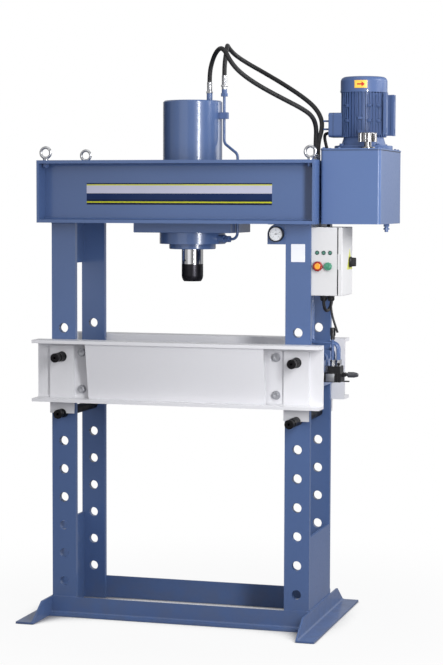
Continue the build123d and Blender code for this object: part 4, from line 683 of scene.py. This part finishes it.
def keep(shape, name, body, material, sharp=35):
    """Turns the finished mesh into a piece that rides on its body."""
    bmesh.ops.remove_doubles(shape, verts=shape.verts[:], dist=0.001)
    bmesh.ops.recalc_face_normals(shape, faces=shape.faces[:])
    shape.transform(to_frame)
    mesh = bpy.data.meshes.new(name)
    shape.to_mesh(mesh)
    shape.free()
    mesh.polygons.foreach_set("use_smooth", [True] * len(mesh.polygons))
    mesh.set_sharp_from_angle(angle=radians(sharp))
    mesh.materials.append(material)
    piece = bpy.data.objects.new(name, mesh)
    scene.collection.objects.link(piece)
    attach(piece, body)
    print(name, "has", len(mesh.polygons), "faces")
    return piece


# %% [markdown]
# ## Weld beads
#
# The frame is welded, and a hand-laid bead is a row of small overlapping scales. A smooth rod would
# look like a strip of putty, and a sphere for every scale would cost many faces, so each bead is a
# scalloped profile spun round the line of the weld. The beads lie in the inner corners where two
# plates meet, under the same paint.

# %% Weld beads of the frame
column_inside, column_outside = 475, 585
column_back, column_face = 177.5, 202.5
foot_top, front_angle_top, rear_angle_top = 80, 80, 100
head_bottom = 1737
bead_crease = 60


def bead(shape, start, end, width=6.0):
    """A row of overlapping scales from start to end."""
    start, end = Vector(start), Vector(end)
    run = (end - start).length
    count = max(2, round(run / (0.6 * width)))
    scale = run / count
    waist, crest, tip = 0.38 * width, 0.5 * width, 0.3 * width
    ripple = [(0, -tip)]
    for k in range(count):
        ripple += [(waist, k * scale), (crest, (k + 0.45) * scale)]
    ripple += [(waist, run), (0, run + tip)]
    turned(shape, ripple, start, end - start, 8)


frame_welds = bmesh.new()
for side in (-1, 1):
    for front in (-1, 1):
        start_x, end_x = side * (column_inside + 2), side * (column_outside - 2)
        y, z = front * (column_face + 2), (front_angle_top if front < 0 else rear_angle_top) + 0.5
        bead(frame_welds, (start_x, y, z), (end_x, y, z))
        x, z = side * (column_outside + 2), foot_top + 0.5
        bead(frame_welds, (x, front * (column_back + 1.5), z), (x, front * (column_face - 1.5), z))
        y = front * (column_face + 1.5)
        bead(frame_welds, (end_x, y, head_bottom + 2), (end_x, y, head_bottom - 2), 5)
        y, z = front * (column_face + 1), head_bottom - 2
        bead(frame_welds, (side * column_inside, y, z), (side * column_outside, y, z), 5)
    x, y, z = side * (column_outside + 1.5), column_back - 3.5, foot_top + 0.5
    bead(frame_welds, (x, -y, z), (x, y, z))
keep(frame_welds, "frame_weld_beads", "frame", blue, bead_crease)

# %% Weld beads of the gauge plate and the table
gauge_plate_left, gauge_plate_bottom = 395, 1650
gauge_weld = bmesh.new()
upright_bead = (column_inside - 0.5, -(column_face - 0.5))
bead(gauge_weld, (*upright_bead, gauge_plate_bottom + 3), (*upright_bead, head_bottom - 3), 4)
level_bead = (-(column_face + 0.5), head_bottom - 1)
bead(gauge_weld, (gauge_plate_left + 2, *level_bead), (column_inside - 2, *level_bead), 4)
keep(gauge_weld, "gauge_plate_weld", "frame", blue, bead_crease)

cover_half, cover_foot_y, lower_flange_top = 398, 242.5, 970
bearing_edge_y, bearing_bead_low, bearing_bead_high = 216.5, 984, 1196
table_welds = bmesh.new()
for front in (-1, 1):
    cover_bead = (front * cover_foot_y, lower_flange_top)
    bead(table_welds, (-cover_half, *cover_bead), (cover_half, *cover_bead), 5)
    for side in (-1, 1):
        for x in (column_inside - 1.5, column_outside + 1.5):
            edge = (side * x, front * bearing_edge_y)
            bead(table_welds, (*edge, bearing_bead_low), (*edge, bearing_bead_high), 5)
keep(table_welds, "table_weld_beads", "table", table_white, bead_crease)

# %% [markdown]
# ## Nuts and ferrules of the hoses
#
# A hose ends in a nut that screws on to the fitting and a ferrule that is squeezed round the hose
# in a press. The squeeze leaves rings, and the nut's corners are broken on the lathe. The CAD node
# has a plain hexagon and a plain sleeve of the same outer size, and this piece stands for both.

# %% Hose ends
cap_port, rod_union = (83, -20, 2301), (150, -20, 2329)
bulkheads = [(560, -20, 1985), (560, 20, 1985)]
nut_across, nut_height, nut_edge = 27, 9, 1.2
neck_radius, sleeve_radius, groove_radius = 10.2, 11.5, 10.9
grooves, first_groove, groove_pitch = 5, 14.5, 6.2
hose_ends = bmesh.new()
for seat in (cap_port, rod_union, *bulkheads):
    nut(hose_ends, seat, upwards, nut_across, nut_height, nut_edge, 30)
    sleeve = [(0, 8.5), (neck_radius, 8.5), (neck_radius, 11), (sleeve_radius, 12.5)]
    for ring in range(grooves):
        low = first_groove + ring * groove_pitch
        sleeve += [(sleeve_radius, low), (groove_radius, low + 0.9)]
        sleeve += [(groove_radius, low + 2.6), (sleeve_radius, low + 3.5)]
    sleeve += [(sleeve_radius, 47.0), (11.0, 48.6), (10.1, 49.0), (0, 49.0)]
    turned(hose_ends, sleeve, seat)
hose_fittings = keep(hose_ends, "hose_nuts_and_ferrules", "frame", zinc)
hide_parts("hose_ends")

# %% [markdown]
# ## The stripe on the head
#
# A vinyl band of plain coloured lines crosses the head. It is a thin sheet, and a ramp with hard
# steps over its height paints the lines, which keeps their edges sharp at any distance.

# %% Stripe band
band_low, band_high, band_half = 1816, 1909, 417
head_face, vinyl_thick = 212.4, 0.5


def stripe_vinyl():
    """Vinyl with level lines, a little faded."""
    finish = Finish("stripe_vinyl")
    stops = [
        (0.0, shade(16, 24, 52)), (0.085, shade(186, 188, 40)), (0.15, shade(14, 30, 58)),
        (0.24, shade(18, 40, 84)), (0.52, shade(196, 196, 214)), (0.885, shade(204, 206, 96)),
        (0.945, shade(16, 30, 60)),
    ]
    height = (finish.axes()[2] - band_low / 1000) / ((band_high - band_low) / 1000)
    lines = finish.add("ShaderNodeValToRGB", {"stops": stops, "ramp": "CONSTANT"}, {"Fac": height}, "Color")
    faded = finish.mix(finish.noise(5.0, 3.0).rise(0.3, 0.8) * 0.06, lines, shade(110, 116, 130))
    gloss = 0.5 + finish.noise(40.0, 2.0) * 0.08
    skin = finish.bump(finish.noise(160.0), 0.00002)
    return finish.surface(faded, gloss, 0.0, skin, specular_ior_level=0.2)


stripe = bmesh.new()
block(stripe, (-band_half, -(head_face + vinyl_thick), band_low), (band_half, -head_face, band_high))
keep(stripe, "head_stripe", "frame", stripe_vinyl())

# %% [markdown]
# ## Bare plates
#
# A white plate sits on the right column and a yellow one behind the main switch, and both are bare.
# They are thin painted sheet. The white one is a flat block with round corners. The yellow one has
# a hole for the switch's shaft, so its outline and the hole are filled with triangles, and the flat
# face is then extruded to its thickness.

# %% White plate on the column
def sign_face(name, color, deep):
    """The smooth face of a thin plate, a little uneven in tone."""
    finish = Finish(name)
    tone = finish.mix(finish.noise(12.0, 3.0).rise(0.35, 0.8) * 0.4, color, deep)
    gloss = 0.3 + finish.noise(60.0) * 0.1
    return finish.surface(tone, gloss, 0.0, finish.bump(finish.noise(300.0), 0.00001), coat_weight=0.3)


white_sign = sign_face("white_sign", shade(236, 237, 243), shade(222, 224, 234))
yellow_sign = sign_face("yellow_sign", shade(206, 208, 84), shade(188, 190, 70))
notice_center, notice_size, notice_corner = (529.5, -202.8, 1614), (61, 0.6, 76), 3
notice = bmesh.new()
rounded_sheet(notice, notice_center, notice_size, notice_corner, 4)
keep(notice, "bare_notice_plate", "frame", white_sign)

# %% Yellow plate behind the main switch
door_face = 718.0
switch_center, shaft_hole = (-46, 1574), 6
triangle_corners = [(-97, 1543), (5, 1543), (-46, 1631)]


def pierced_triangle(shape, x, corners, hole_center, hole_radius, thick):
    """A flat three-cornered plate across X with a round hole for the switch's shaft."""
    rim = [shape.verts.new((x, y, z)) for y, z in corners]
    edges = [shape.edges.new((a, b)) for a, b in zip(rim, rim[1:] + rim[:1])]
    hole = bmesh.ops.create_circle(
        shape, cap_ends=False, segments=20, radius=hole_radius, matrix=stand((x, *hole_center), to_right)
    )["verts"]
    edges += edges_of(hole)
    sheet = bmesh.ops.triangle_fill(shape, use_beauty=True, use_dissolve=False, edges=edges)["geom"]
    faces = [f for f in sheet if isinstance(f, bmesh.types.BMFace)]
    lifted = bmesh.ops.extrude_face_region(shape, geom=faces, use_keep_orig=True)["geom"]
    front_verts = [v for v in lifted if isinstance(v, bmesh.types.BMVert)]
    bmesh.ops.translate(shape, vec=(thick, 0, 0), verts=front_verts)


switch_plate = bmesh.new()
pierced_triangle(switch_plate, door_face, triangle_corners, switch_center, shaft_hole, 0.8)
keep(switch_plate, "bare_switch_plate", "door", yellow_sign)

# %% [markdown]
# ## The arrow on the fan cowl
#
# A small yellow plate with a red arrow shows which way the motor turns. The cowl is round, so the
# plate is a thin upright outline spun through a few degrees about the motor's axis. The arrow is
# painted by a sum on the angle round that axis.

# %% Arrow plate
motor_x, motor_y = 757.0, 40.0
cowl_radius = 100.3
arrow_middle, arrow_half_turn = radians(-90 + 3.9), radians(16)
arrow_low, arrow_high, arrow_thick = 2314, 2347, 0.5


def arrow_face():
    """A red arrow and an orange rim on yellow, drawn in metres along and across the plate."""
    finish = Finish("turning_arrow")
    x, y, z = finish.axes()
    right, back = x - (motor_x / 1000 + ram_axis_x), y - motor_y / 1000
    along = (back.angle_from(right) - arrow_middle) * (cowl_radius / 1000)
    high = abs(z - (arrow_low + arrow_high) / 2 / 1000)
    shaft = (abs(along + 0.004) < 0.012) * (high < 0.0032)
    head = (along > 0.003) * (high < (0.0175 - along) * 0.75)
    tone = finish.mix(shaft.larger(head), shade(246, 204, 78), shade(196, 40, 22))
    rim = (abs(along) > 0.0262).larger(high > 0.0152)
    tone = finish.mix(rim * 0.7, tone, shade(224, 150, 60))
    gloss = 0.3 + finish.noise(50.0) * 0.1
    return finish.surface(tone, gloss, 0.0, finish.bump(finish.noise(300.0), 0.00001), coat_weight=0.3)


arrow_plate = bmesh.new()
plate_start = arrow_middle - arrow_half_turn
inside, outside = cowl_radius, cowl_radius + arrow_thick
outline = [
    arrow_plate.verts.new((motor_x + radius * cos(plate_start), motor_y + radius * sin(plate_start), z))
    for radius, z in ((inside, arrow_low), (outside, arrow_low), (outside, arrow_high), (inside, arrow_high))
]
rim = [arrow_plate.edges.new(pair) for pair in zip(outline, outline[1:] + outline[:1])]
bmesh.ops.spin(
    arrow_plate, geom=outline + rim, cent=(motor_x, motor_y, 0), axis=upwards, angle=2 * arrow_half_turn,
    steps=12, use_merge=False,
)
bmesh.ops.holes_fill(arrow_plate, edges=arrow_plate.edges[:], sides=4)
keep(arrow_plate, "turning_arrow_plate", "frame", arrow_face())

# %% [markdown]
# ## Bolts of the motor, the cowl and the tank lid
#
# Motors of this size are held by four bolts through the flange, the cowl by four small screws, and
# the lid by hexagon screws along its rim. Each kind is drawn once and repeated, and the hexagon
# heads sit on washers. The ribs, bosses and pads cast on the motor are blocks with rounded edges.

# %% Bolts of the motor flange
flange_top, flange_bolt_ring = 2071, 111.5


def bolt(shape, place, direction, across, height):
    """A hexagon head on its washer."""
    washer = 0.72 * across
    turned(shape, [(0, 0), (washer, 0), (washer, 1.2), (washer - 0.5, 1.6), (0, 1.6)], place, direction, 24)
    nut(shape, Vector(place) + Vector(direction).normalized() * 1.5, direction, across, height, 0.7)


flange_bolts = bmesh.new()
for k in range(4):
    angle = radians(45 + 90 * k)
    x, y = motor_x + flange_bolt_ring * cos(angle), motor_y + flange_bolt_ring * sin(angle)
    bolt(flange_bolts, (x, y, flange_top), upwards, 17, 7)
keep(flange_bolts, "motor_flange_bolts", "frame", motor_blue)

# %% Ribs, bosses and pads cast on the motor
foot_plate_y = -39.5
rib_count, rib_pitch, rib_wide, rib_deep, first_rib_x = 7, 13, 3.5, 6.5, 774
rib_low, rib_high = 2119, 2289
boss_deep, boss_half_wide, boss_half_high = 11.5, 9, 7
boss_screw = [(0, 0), (4.0, 0), (4.0, 1.4), (3.0, 2.2), (0, 2.4)]
foot_ribs = bmesh.new()
for k in range(rib_count):
    x = first_rib_x + rib_pitch * k
    block(foot_ribs, (x, foot_plate_y - rib_deep, rib_low), (x + rib_wide, foot_plate_y, rib_high), 1.0)
for x in (800, 839):
    for z in (2240, 2176):
        boss_y = foot_plate_y - boss_deep
        low = (x - boss_half_wide, boss_y, z - boss_half_high)
        high = (x + boss_half_wide, foot_plate_y, z + boss_half_high)
        block(foot_ribs, low, high, 2.0, 3)
        turned(foot_ribs, boss_screw, (x, boss_y, z), to_operator, 16)
keep(foot_ribs, "motor_foot_ribs", "frame", motor_blue)

pad_outside, pad_inside, pad_half_high = -102.5, -90, 6
motor_pads = bmesh.new()
for azimuth, z, wide in ((-34, 2240, 16), (-34, 2176, 16), (2, 2187, 18), (2, 2130, 18)):
    around = Matrix.Translation((motor_x, motor_y, z)) @ Matrix.Rotation(radians(azimuth), 4, "Z")
    low, high = (-wide / 2, pad_outside, -pad_half_high), (wide / 2, pad_inside, pad_half_high)
    block(motor_pads, low, high, 1.6, around=around)
keep(motor_pads, "motor_cast_pads", "frame", motor_blue)

# %% Screws of the lid and the cowl
lid_top = 2055
front_row_y, rear_row_y = -184, 244
lid_places = [(x, front_row_y) for x in (634, 700, 868)] + [(x, rear_row_y) for x in (634, 751, 868)]
lid_places += [(632, -60), (634, 150), (870, -90), (870, 170)]
lid_screws = bmesh.new()
for x, y in lid_places:
    bolt(lid_screws, (x, y, lid_top), upwards, 10, 4)
keep(lid_screws, "tank_lid_screws", "frame", tank_blue)

cowl_screw_z = 2303
cowl_screws = bmesh.new()
for k in range(4):
    angle = radians(20 + 90 * k)
    out = Vector((cos(angle), sin(angle), 0))
    spot = Vector((motor_x, motor_y, cowl_screw_z)) + out * cowl_radius
    turned(cowl_screws, [(0, -0.5), (4.2, -0.5), (4.2, 0.8), (3.2, 2.2), (0, 2.6)], spot, out, 20)
keep(cowl_screws, "cowl_screws", "frame", zinc)

# %% Seal under the tank's lid and fitting under its drain
seal_center, seal_size, seal_corner = (751, 30, 2047.6), (259, 451, 2.6), 14.5
lid_seal = bmesh.new()
rounded_sheet(lid_seal, seal_center, seal_size, seal_corner, 6)
keep(lid_seal, "tank_lid_seal", "frame", seal_black)

drain_x, drain_y, tank_bottom = 860, 40, 1725.3
drain_profile = [
    (0, 0), (8.5, 0), (8.5, 5), (10.5, 6), (10.5, 13), (8, 14), (8, 22), (6.5, 23.5), (0, 23.5)
]
drain = bmesh.new()
turned(drain, drain_profile, (drain_x, drain_y, tank_bottom), downwards, 28)
nut(drain, (drain_x, drain_y, 1718), downwards, 24, 6, 1.0, 10)
keep(drain, "tank_drain_fitting", "frame", tank_blue)

# %% [markdown]
# ## Gland nuts under the cabinet
#
# Where the two cables leave the cabinet, each gland has a ribbed plastic nut that squeezes a rubber
# ring on to the cable. The ribs are small blocks set round a turned dome.

# %% Gland nuts
gland_y, gland_top, rib_middle_z = -100, 1433.8, 1418
gland_profile = [(7.4, 0), (15.2, 0), (15.2, 9), (14.4, 10.5), (14.4, 20), (12.5, 25), (7.4, 26.5)]
gland_nuts = bmesh.new()
for x in (618, 650):
    turned(gland_nuts, gland_profile, (x, gland_y, gland_top), downwards, 32, True)
    for k in range(12):
        around = Matrix.Translation((x, gland_y, rib_middle_z)) @ Matrix.Rotation(radians(30 * k), 4, "Z")
        block(gland_nuts, (13.6, -1.6, -4.5), (15.4, 1.6, 5), 0.5, 1, around)
keep(gland_nuts, "cable_gland_nuts", "frame", matt_black)

# %% [markdown]
# ## Details of the terminal box
#
# The box on the motor's left side closes with a lid on a seal, held by four screws. The seal shows
# as a dark line round the box. Two studs stick out towards the column, as in the picture.

# %% Terminal box seal, screws and studs
lid_outside_x = 612.2
box_seal_center, box_seal_size, box_seal_corner = (633, 40, 2160.5), (1.6, 100.7, 105.4), 12
box_seal = bmesh.new()
rounded_sheet(box_seal, box_seal_center, box_seal_size, box_seal_corner, 6)
keep(box_seal, "terminal_box_seal", "frame", seal_black)

box_screws = bmesh.new()
for y in (2, 78):
    for z in (2120, 2201):
        head = [(0, 0), (3.8, 0), (3.8, 1.6), (2.8, 2.8), (0, 3)]
        turned(box_screws, head, (lid_outside_x, y, z), to_left, 18)
keep(box_screws, "terminal_box_screws", "frame", zinc)

box_studs = bmesh.new()
for z in (2178, 2143):
    stud = [(0, 0), (7, 0), (7, 4), (4, 5), (4, 27), (3.2, 28), (0, 28)]
    turned(box_studs, stud, (lid_outside_x, 20, z), to_left, 24)
keep(box_studs, "terminal_box_studs", "frame", motor_blue)

# %% [markdown]
# ## Seal of the cabinet door
#
# Between the cabinet and its door runs a black rubber seal, which the picture shows as one dark
# upright line. It is a rectangle of soft strip with a thin lip over the joint at the front, glued to
# the door, so it rides on the door and leaves the cabinet's rim free when the door swings. A narrow
# black strip at the edge of the finger pull is a painted shadow of the gap there.

# %% Door seal
seal_low, seal_high, seal_front, seal_rear, strip = 1436, 1722, -182, 1, 7
inner_x, outer_x = 697.3, 699.4
door_seal_and_gap_shadow = bmesh.new()
block(door_seal_and_gap_shadow, (697.1, -190.3, seal_low), (700.4, seal_front, seal_high), 0.4)
block(door_seal_and_gap_shadow, (inner_x, seal_rear, seal_low), (outer_x, 9, seal_high), 0.4)
for low, high in ((seal_low, seal_low + strip), (seal_high - strip, seal_high)):
    block(door_seal_and_gap_shadow, (inner_x, seal_front, low), (outer_x, seal_rear, high), 0.4)
block(door_seal_and_gap_shadow, (696.2, -191.0, seal_low + 1), (700.9, -190.05, seal_high - 1), 0.3)
# Painted shadow: a thin black strip that stands for the shade in the finger pull's gap.
block(door_seal_and_gap_shadow, (708.6, -190.5, 1545), (709.6, -189.0, 1610))
keep(door_seal_and_gap_shadow, "cabinet_door_seal_and_painted_gap_shadow", "door", seal_black)

# %% [markdown]
# ## Caps of the buttons
#
# The stop button is a red mushroom head with an amber middle. The CAD head is right in size, and
# the middle is a shallow turned cap that sits on it and moves with it. The start button gets a low
# raised disc in the same way.

# %% Button caps
stop_place, start_place = (615, -211, 1559), (659, -206, 1559)
stop_profile = [(0, -0.4), (12.5, -0.4), (12.5, 0.6), (11.0, 1.4), (5.0, 1.7), (3.6, 0.9), (0, 0.8)]
start_profile = [(0, -0.4), (11.5, -0.4), (11.5, 0.5), (10.6, 1.0), (0, 1.2)]
stop_cap = bmesh.new()
turned(stop_cap, stop_profile, stop_place, to_operator, 36)
keep(stop_cap, "stop_button_middle", "stop", stop_amber)
start_cap = bmesh.new()
turned(start_cap, start_profile, start_place, to_operator, 36)
keep(start_cap, "start_button_middle", "start", start_green)

# %% [markdown]
# ## The gauge
#
# A pressure gauge of 63 mm has a white dial, a scale over three quarters of a turn, and a glass held
# by a rolled ring. The numbers are set as text, turned into a mesh and laid on the dial. The needle
# is a CAD node and swings between the dial and the glass.

# %% Dial
gauge_x, gauge_z, dial_y, glass_y, ring_y = 438.0, 1694.0, -224.5, -228.3, -229.0
dial_radius, needle_hole = 28.8, 1.6
dial_white = plastic("dial_white", shade(238, 238, 240), shade(228, 228, 232), 0.4)
ink = plastic("dial_ink", shade(24, 24, 28), shade(18, 18, 22), 0.5)
dial_profile = [(needle_hole, 0.0), (dial_radius, 0.0), (dial_radius, 0.35), (needle_hole, 0.35)]
dial = bmesh.new()
turned(dial, dial_profile, (gauge_x, dial_y, gauge_z), to_operator, 48, True)
keep(dial, "gauge_dial", "frame", dial_white)

# %% Scale
ink_y = dial_y - 0.45
scale_start, scale_sweep, marks = 225, 270, 40
marks_end, long_from, middle_from, short_from = 26.5, 20.5, 22.8, 23.8
numbers, number_radius, number_size = ("0", "10", "20", "30", "40"), 16.2, 6.2
scale_marks = bmesh.new()
for k in range(marks + 1):
    turn = radians(scale_start - scale_sweep * k / marks)
    long_mark = k % 10 == 0
    inner = long_from if long_mark else middle_from if k % 5 == 0 else short_from
    size = (marks_end - inner, 0.2, 0.9 if long_mark else 0.45, 1)
    bar = Matrix.Translation((gauge_x, ink_y, gauge_z)) @ Matrix.Rotation(-turn, 4, "Y")
    bar = bar @ Matrix.Translation(((inner + marks_end) / 2, 0, 0)) @ Matrix.Diagonal(size)
    bmesh.ops.create_cube(scale_marks, size=1.0, matrix=bar)
for k, word in enumerate(numbers):
    turn = radians(scale_start - scale_sweep * k / (len(numbers) - 1))
    writing = bpy.data.curves.new("number", "FONT")
    writing.body, writing.size, writing.extrude = word, number_size, 0.1
    writing.align_x = writing.align_y = "CENTER"
    pen = bpy.data.objects.new("number", writing)
    number = bpy.data.meshes.new_from_object(pen)
    place = (gauge_x + number_radius * cos(turn), ink_y, gauge_z + number_radius * sin(turn))
    number.transform(Matrix.Translation(place) @ Matrix.Rotation(radians(90), 4, "X"))
    scale_marks.from_mesh(number)
    bpy.data.objects.remove(pen)
keep(scale_marks, "gauge_scale", "frame", ink)

# %% Glass and ring
def clear_glass():
    """Glass that is nearly all see-through, with a coat for its gleam."""
    finish = Finish("gauge_glass")
    gloss = 0.04 + finish.noise(30.0) * 0.02
    waves = finish.bump(finish.noise(8.0), 0.00002)
    return finish.surface(shade(235, 240, 245), gloss, 0.0, waves, alpha=0.14, coat_weight=0.5)


pane = bmesh.new()
pane_profile = [(0, 0), (dial_radius, 0), (dial_radius, 1.0), (0, 1.3)]
turned(pane, pane_profile, (gauge_x, glass_y, gauge_z), to_operator, 48)
keep(pane, "gauge_glass_pane", "frame", clear_glass())
ring_profile = [(28.6, -1.5), (32.6, -1.5), (32.9, 0.6), (31.4, 1.9), (29.4, 1.6), (28.4, 0.4)]
bezel = bmesh.new()
turned(bezel, ring_profile, (gauge_x, ring_y, gauge_z), to_operator, 48, True)
keep(bezel, "gauge_bezel", "frame", dark_case)

# %% [markdown]
# ## Washers and dimples of the tie bolts
#
# Four long bolts clamp the two beams of the table together. They are dull zinc, and each head has a
# thick washer under it and the lathe's centre mark on it.

# %% Tie bolt washers
tie_x, web_face, head_top = 440, 215, 227.5
washer_profile = [(14.2, 0.0), (19.0, 0.0), (19.0, 2.6), (18.4, 3.2), (14.2, 3.2)]
dimple_profile = [(0, -1.0), (13.2, -1.0), (13.2, 0.0), (12.4, 0.6), (3.0, 0.6), (1.0, -0.6), (0, -0.6)]
tie_washers = bmesh.new()
for side in (-1, 1):
    for z in (1008, 1170):
        for front in (-1, 1):
            out = (0, front, 0)
            turned(tie_washers, washer_profile, (side * tie_x, front * web_face, z), out, 36, True)
            turned(tie_washers, dimple_profile, (side * tie_x, front * head_top, z), out, 36)
keep(tie_washers, "tie_bolt_washers", "table", dull_zinc)

# %% [markdown]
# ## Details of the hand valve
#
# The valve's silver pad is a bare plate with four rivets. A small black knob stands on the body,
# where a relief screw is locked.

# %% Valve plate and knob
plate_back, plate_face, rivet_seat = -152.8, -154.0, -153.9
valve_face = bmesh.new()
block(valve_face, (641.5, plate_face, 1067.5), (678.5, plate_back, 1100.5), 0.3)
for x in (644.5, 675.5):
    for z in (1070.5, 1097.5):
        turned(valve_face, [(0, 0), (1.8, 0), (1.5, 0.9), (0, 1.2)], (x, rivet_seat, z), to_operator, 14)
keep(valve_face, "bare_valve_plate", "frame", brushed_tin)

knob_seat = (694, -138, 1132)
knob_profile = [(0, -0.5), (3.2, -0.5), (3.2, 6), (5.5, 6.5), (5.8, 8), (5.8, 14), (4.6, 15.5), (0, 15.8)]
relief_knob = bmesh.new()
turned(relief_knob, knob_profile, knob_seat, upwards, 24)
keep(relief_knob, "valve_relief_knob", "frame", valve_black)

# %% [markdown]
# ## Floor and light
#
# The picture has a white ground without a horizon. The floor is a pale sheet that the camera sees
# mostly as plain white, with a share of real shading left in, so the press keeps a soft shadow.
# Close under the steel the sky is hidden, and there the real shading takes over.
# A tall narrow soft box at the right draws the bright streak on the cylinder, and a wide weak one
# at the left fills the shadows. Three more light the right side, the top and the back. Black cards
# beside the press, seen only by mirrors, give the chromed rod its dark edges, as a photographer
# would do it.

# %% White floor
floor_half = 14.0
floor_mesh = bpy.data.meshes.new("floor")
floor_shape = bmesh.new()
bmesh.ops.create_grid(floor_shape, x_segments=1, y_segments=1, size=floor_half)
floor_shape.to_mesh(floor_mesh)
floor_shape.free()
floor = bpy.data.objects.new("floor", floor_mesh)
floor.location.z = -0.001
scene.collection.objects.link(floor)
floor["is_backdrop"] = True


def white_floor():
    """Plain white to the camera far out, a little shaded near the press, shaded close to the steel."""
    finish = Finish("white_floor")
    x, y, _ = finish.axes()
    far_out = ((x * x + y * y) ** 0.5).rise(0.6, 2.2)
    plain = finish.add("ShaderNodeEmission", None, {"Color": (1, 1, 1, 1), "Strength": 1.0})
    shaded = finish.add("ShaderNodeBsdfDiffuse", None, {"Color": shade(150, 150, 156)})
    camera_ray, clear_ray = finish.add(
        "ShaderNodeLightPath", None, None, ("Is Camera Ray", "Is Transmission Ray")
    )
    open_sky = finish.add("ShaderNodeAmbientOcclusion", {"samples": 8}, {"Distance": 0.22}, "AO")
    white = camera_ray.larger(clear_ray) * (0.94 + far_out * 0.06) * open_sky.rise(0.5, 0.86)
    finish.end(finish.add("ShaderNodeMixShader", None, {0: white, 1: shaded, 2: plain}))
    return finish.material


floor_mesh.materials.append(white_floor())
print("floor is", 2 * floor_half, "m wide")

# %% White world
dim_strength, white_strength = 0.42, 1.0
world = bpy.data.worlds.new("studio")
scene.world = world
world.use_nodes = True
sky = world.node_tree
sky.nodes.clear()
sky_path = sky.nodes.new("ShaderNodeLightPath")
direct_view = sky.nodes.new("ShaderNodeMath")
direct_view.operation = "MAXIMUM"
sky.links.new(sky_path.outputs["Is Camera Ray"], direct_view.inputs[0])
sky.links.new(sky_path.outputs["Is Transmission Ray"], direct_view.inputs[1])
dim, bright = sky.nodes.new("ShaderNodeBackground"), sky.nodes.new("ShaderNodeBackground")
for light, strength in ((dim, dim_strength), (bright, white_strength)):
    light.inputs["Color"].default_value = (1, 1, 1, 1)
    light.inputs["Strength"].default_value = strength
blend = sky.nodes.new("ShaderNodeMixShader")
sky_end = sky.nodes.new("ShaderNodeOutputWorld")
sky.links.new(direct_view.outputs[0], blend.inputs[0])
sky.links.new(dim.outputs[0], blend.inputs[1])
sky.links.new(bright.outputs[0], blend.inputs[2])
sky.links.new(blend.outputs[0], sky_end.inputs["Surface"])
print("world is white to the camera and dimmer as light")

# %% Soft boxes and black cards
def soft_box(name, azimuth, distance, height, width, tall, watts, aim=1.3):
    """A lamp as a glowing panel that faces the press, azimuth counted from the operator's side."""
    panel = bpy.data.lights.new(name, "AREA")
    panel.shape = "RECTANGLE"
    panel.size, panel.size_y, panel.energy = width, tall, watts
    lamp = bpy.data.objects.new(name, panel)
    lamp.location = (sin(radians(azimuth)) * distance, -cos(radians(azimuth)) * distance, height)
    lamp.rotation_euler = (Vector((0, 0, aim)) - lamp.location).to_track_quat("-Z", "Y").to_euler()
    lamp.visible_camera = False
    scene.collection.objects.link(lamp)
    print(name, "at", tuple(round(c, 2) for c in lamp.location), watts, "W")


soft_box("tall_box_right", azimuth=39, distance=3.1, height=2.1, width=0.42, tall=2.3, watts=74, aim=1.9)
soft_box("wide_box_left", azimuth=-20, distance=5.0, height=2.2, width=3.0, tall=2.6, watts=16)
soft_box("side_box_right", azimuth=92, distance=3.2, height=3.2, width=1.6, tall=1.4, watts=68, aim=2.4)
soft_box("top_box", azimuth=10, distance=1.5, height=5.5, width=3.0, tall=3.0, watts=36)
soft_box("back_box", azimuth=132, distance=5.0, height=3.0, width=2.4, tall=2.2, watts=42)


def black_card(name, azimuth, distance, width, tall):
    """A dark panel that only mirrors see."""
    mesh = bpy.data.meshes.new(name)
    card_shape = bmesh.new()
    facing = Matrix.Rotation(radians(azimuth), 4, "Z") @ Matrix.Translation((0, -distance, tall / 2))
    facing = facing @ Matrix.Rotation(radians(90), 4, "X") @ Matrix.Diagonal((width / 2, tall / 2, 1, 1))
    bmesh.ops.create_grid(card_shape, x_segments=1, y_segments=1, size=1.0, matrix=facing)
    card_shape.to_mesh(mesh)
    card_shape.free()
    cloth = Finish(name)
    cloth.surface(shade(26, 27, 32), 0.9)
    mesh.materials.append(cloth.material)
    card = bpy.data.objects.new(name, mesh)
    scene.collection.objects.link(card)
    card.visible_camera = card.visible_diffuse = card.visible_shadow = card.visible_transmission = False
    card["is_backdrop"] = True


black_card("card_left", azimuth=-105, distance=5.5, width=5.0, tall=4.0)
black_card("card_right", azimuth=72, distance=5.5, width=2.2, tall=4.0)
black_card("card_middle", azimuth=17, distance=6.5, width=0.5, tall=4.0)

# %% [markdown]
# ## Colour and size
#
# The Standard view shows colours as they were written. The last lines note how large the dressed
# press is against the CAD model.

# %% View and sizes
scene.view_settings.view_transform = "Standard"
own_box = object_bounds()
{"cad": [list(c) for c in cad_box], "visual": [list(c) for c in own_box]}
print("CAD model:", [[round(v, 4) for v in c] for c in cad_box])
print("dressed:  ", [[round(v, 4) for v in c] for c in own_box])
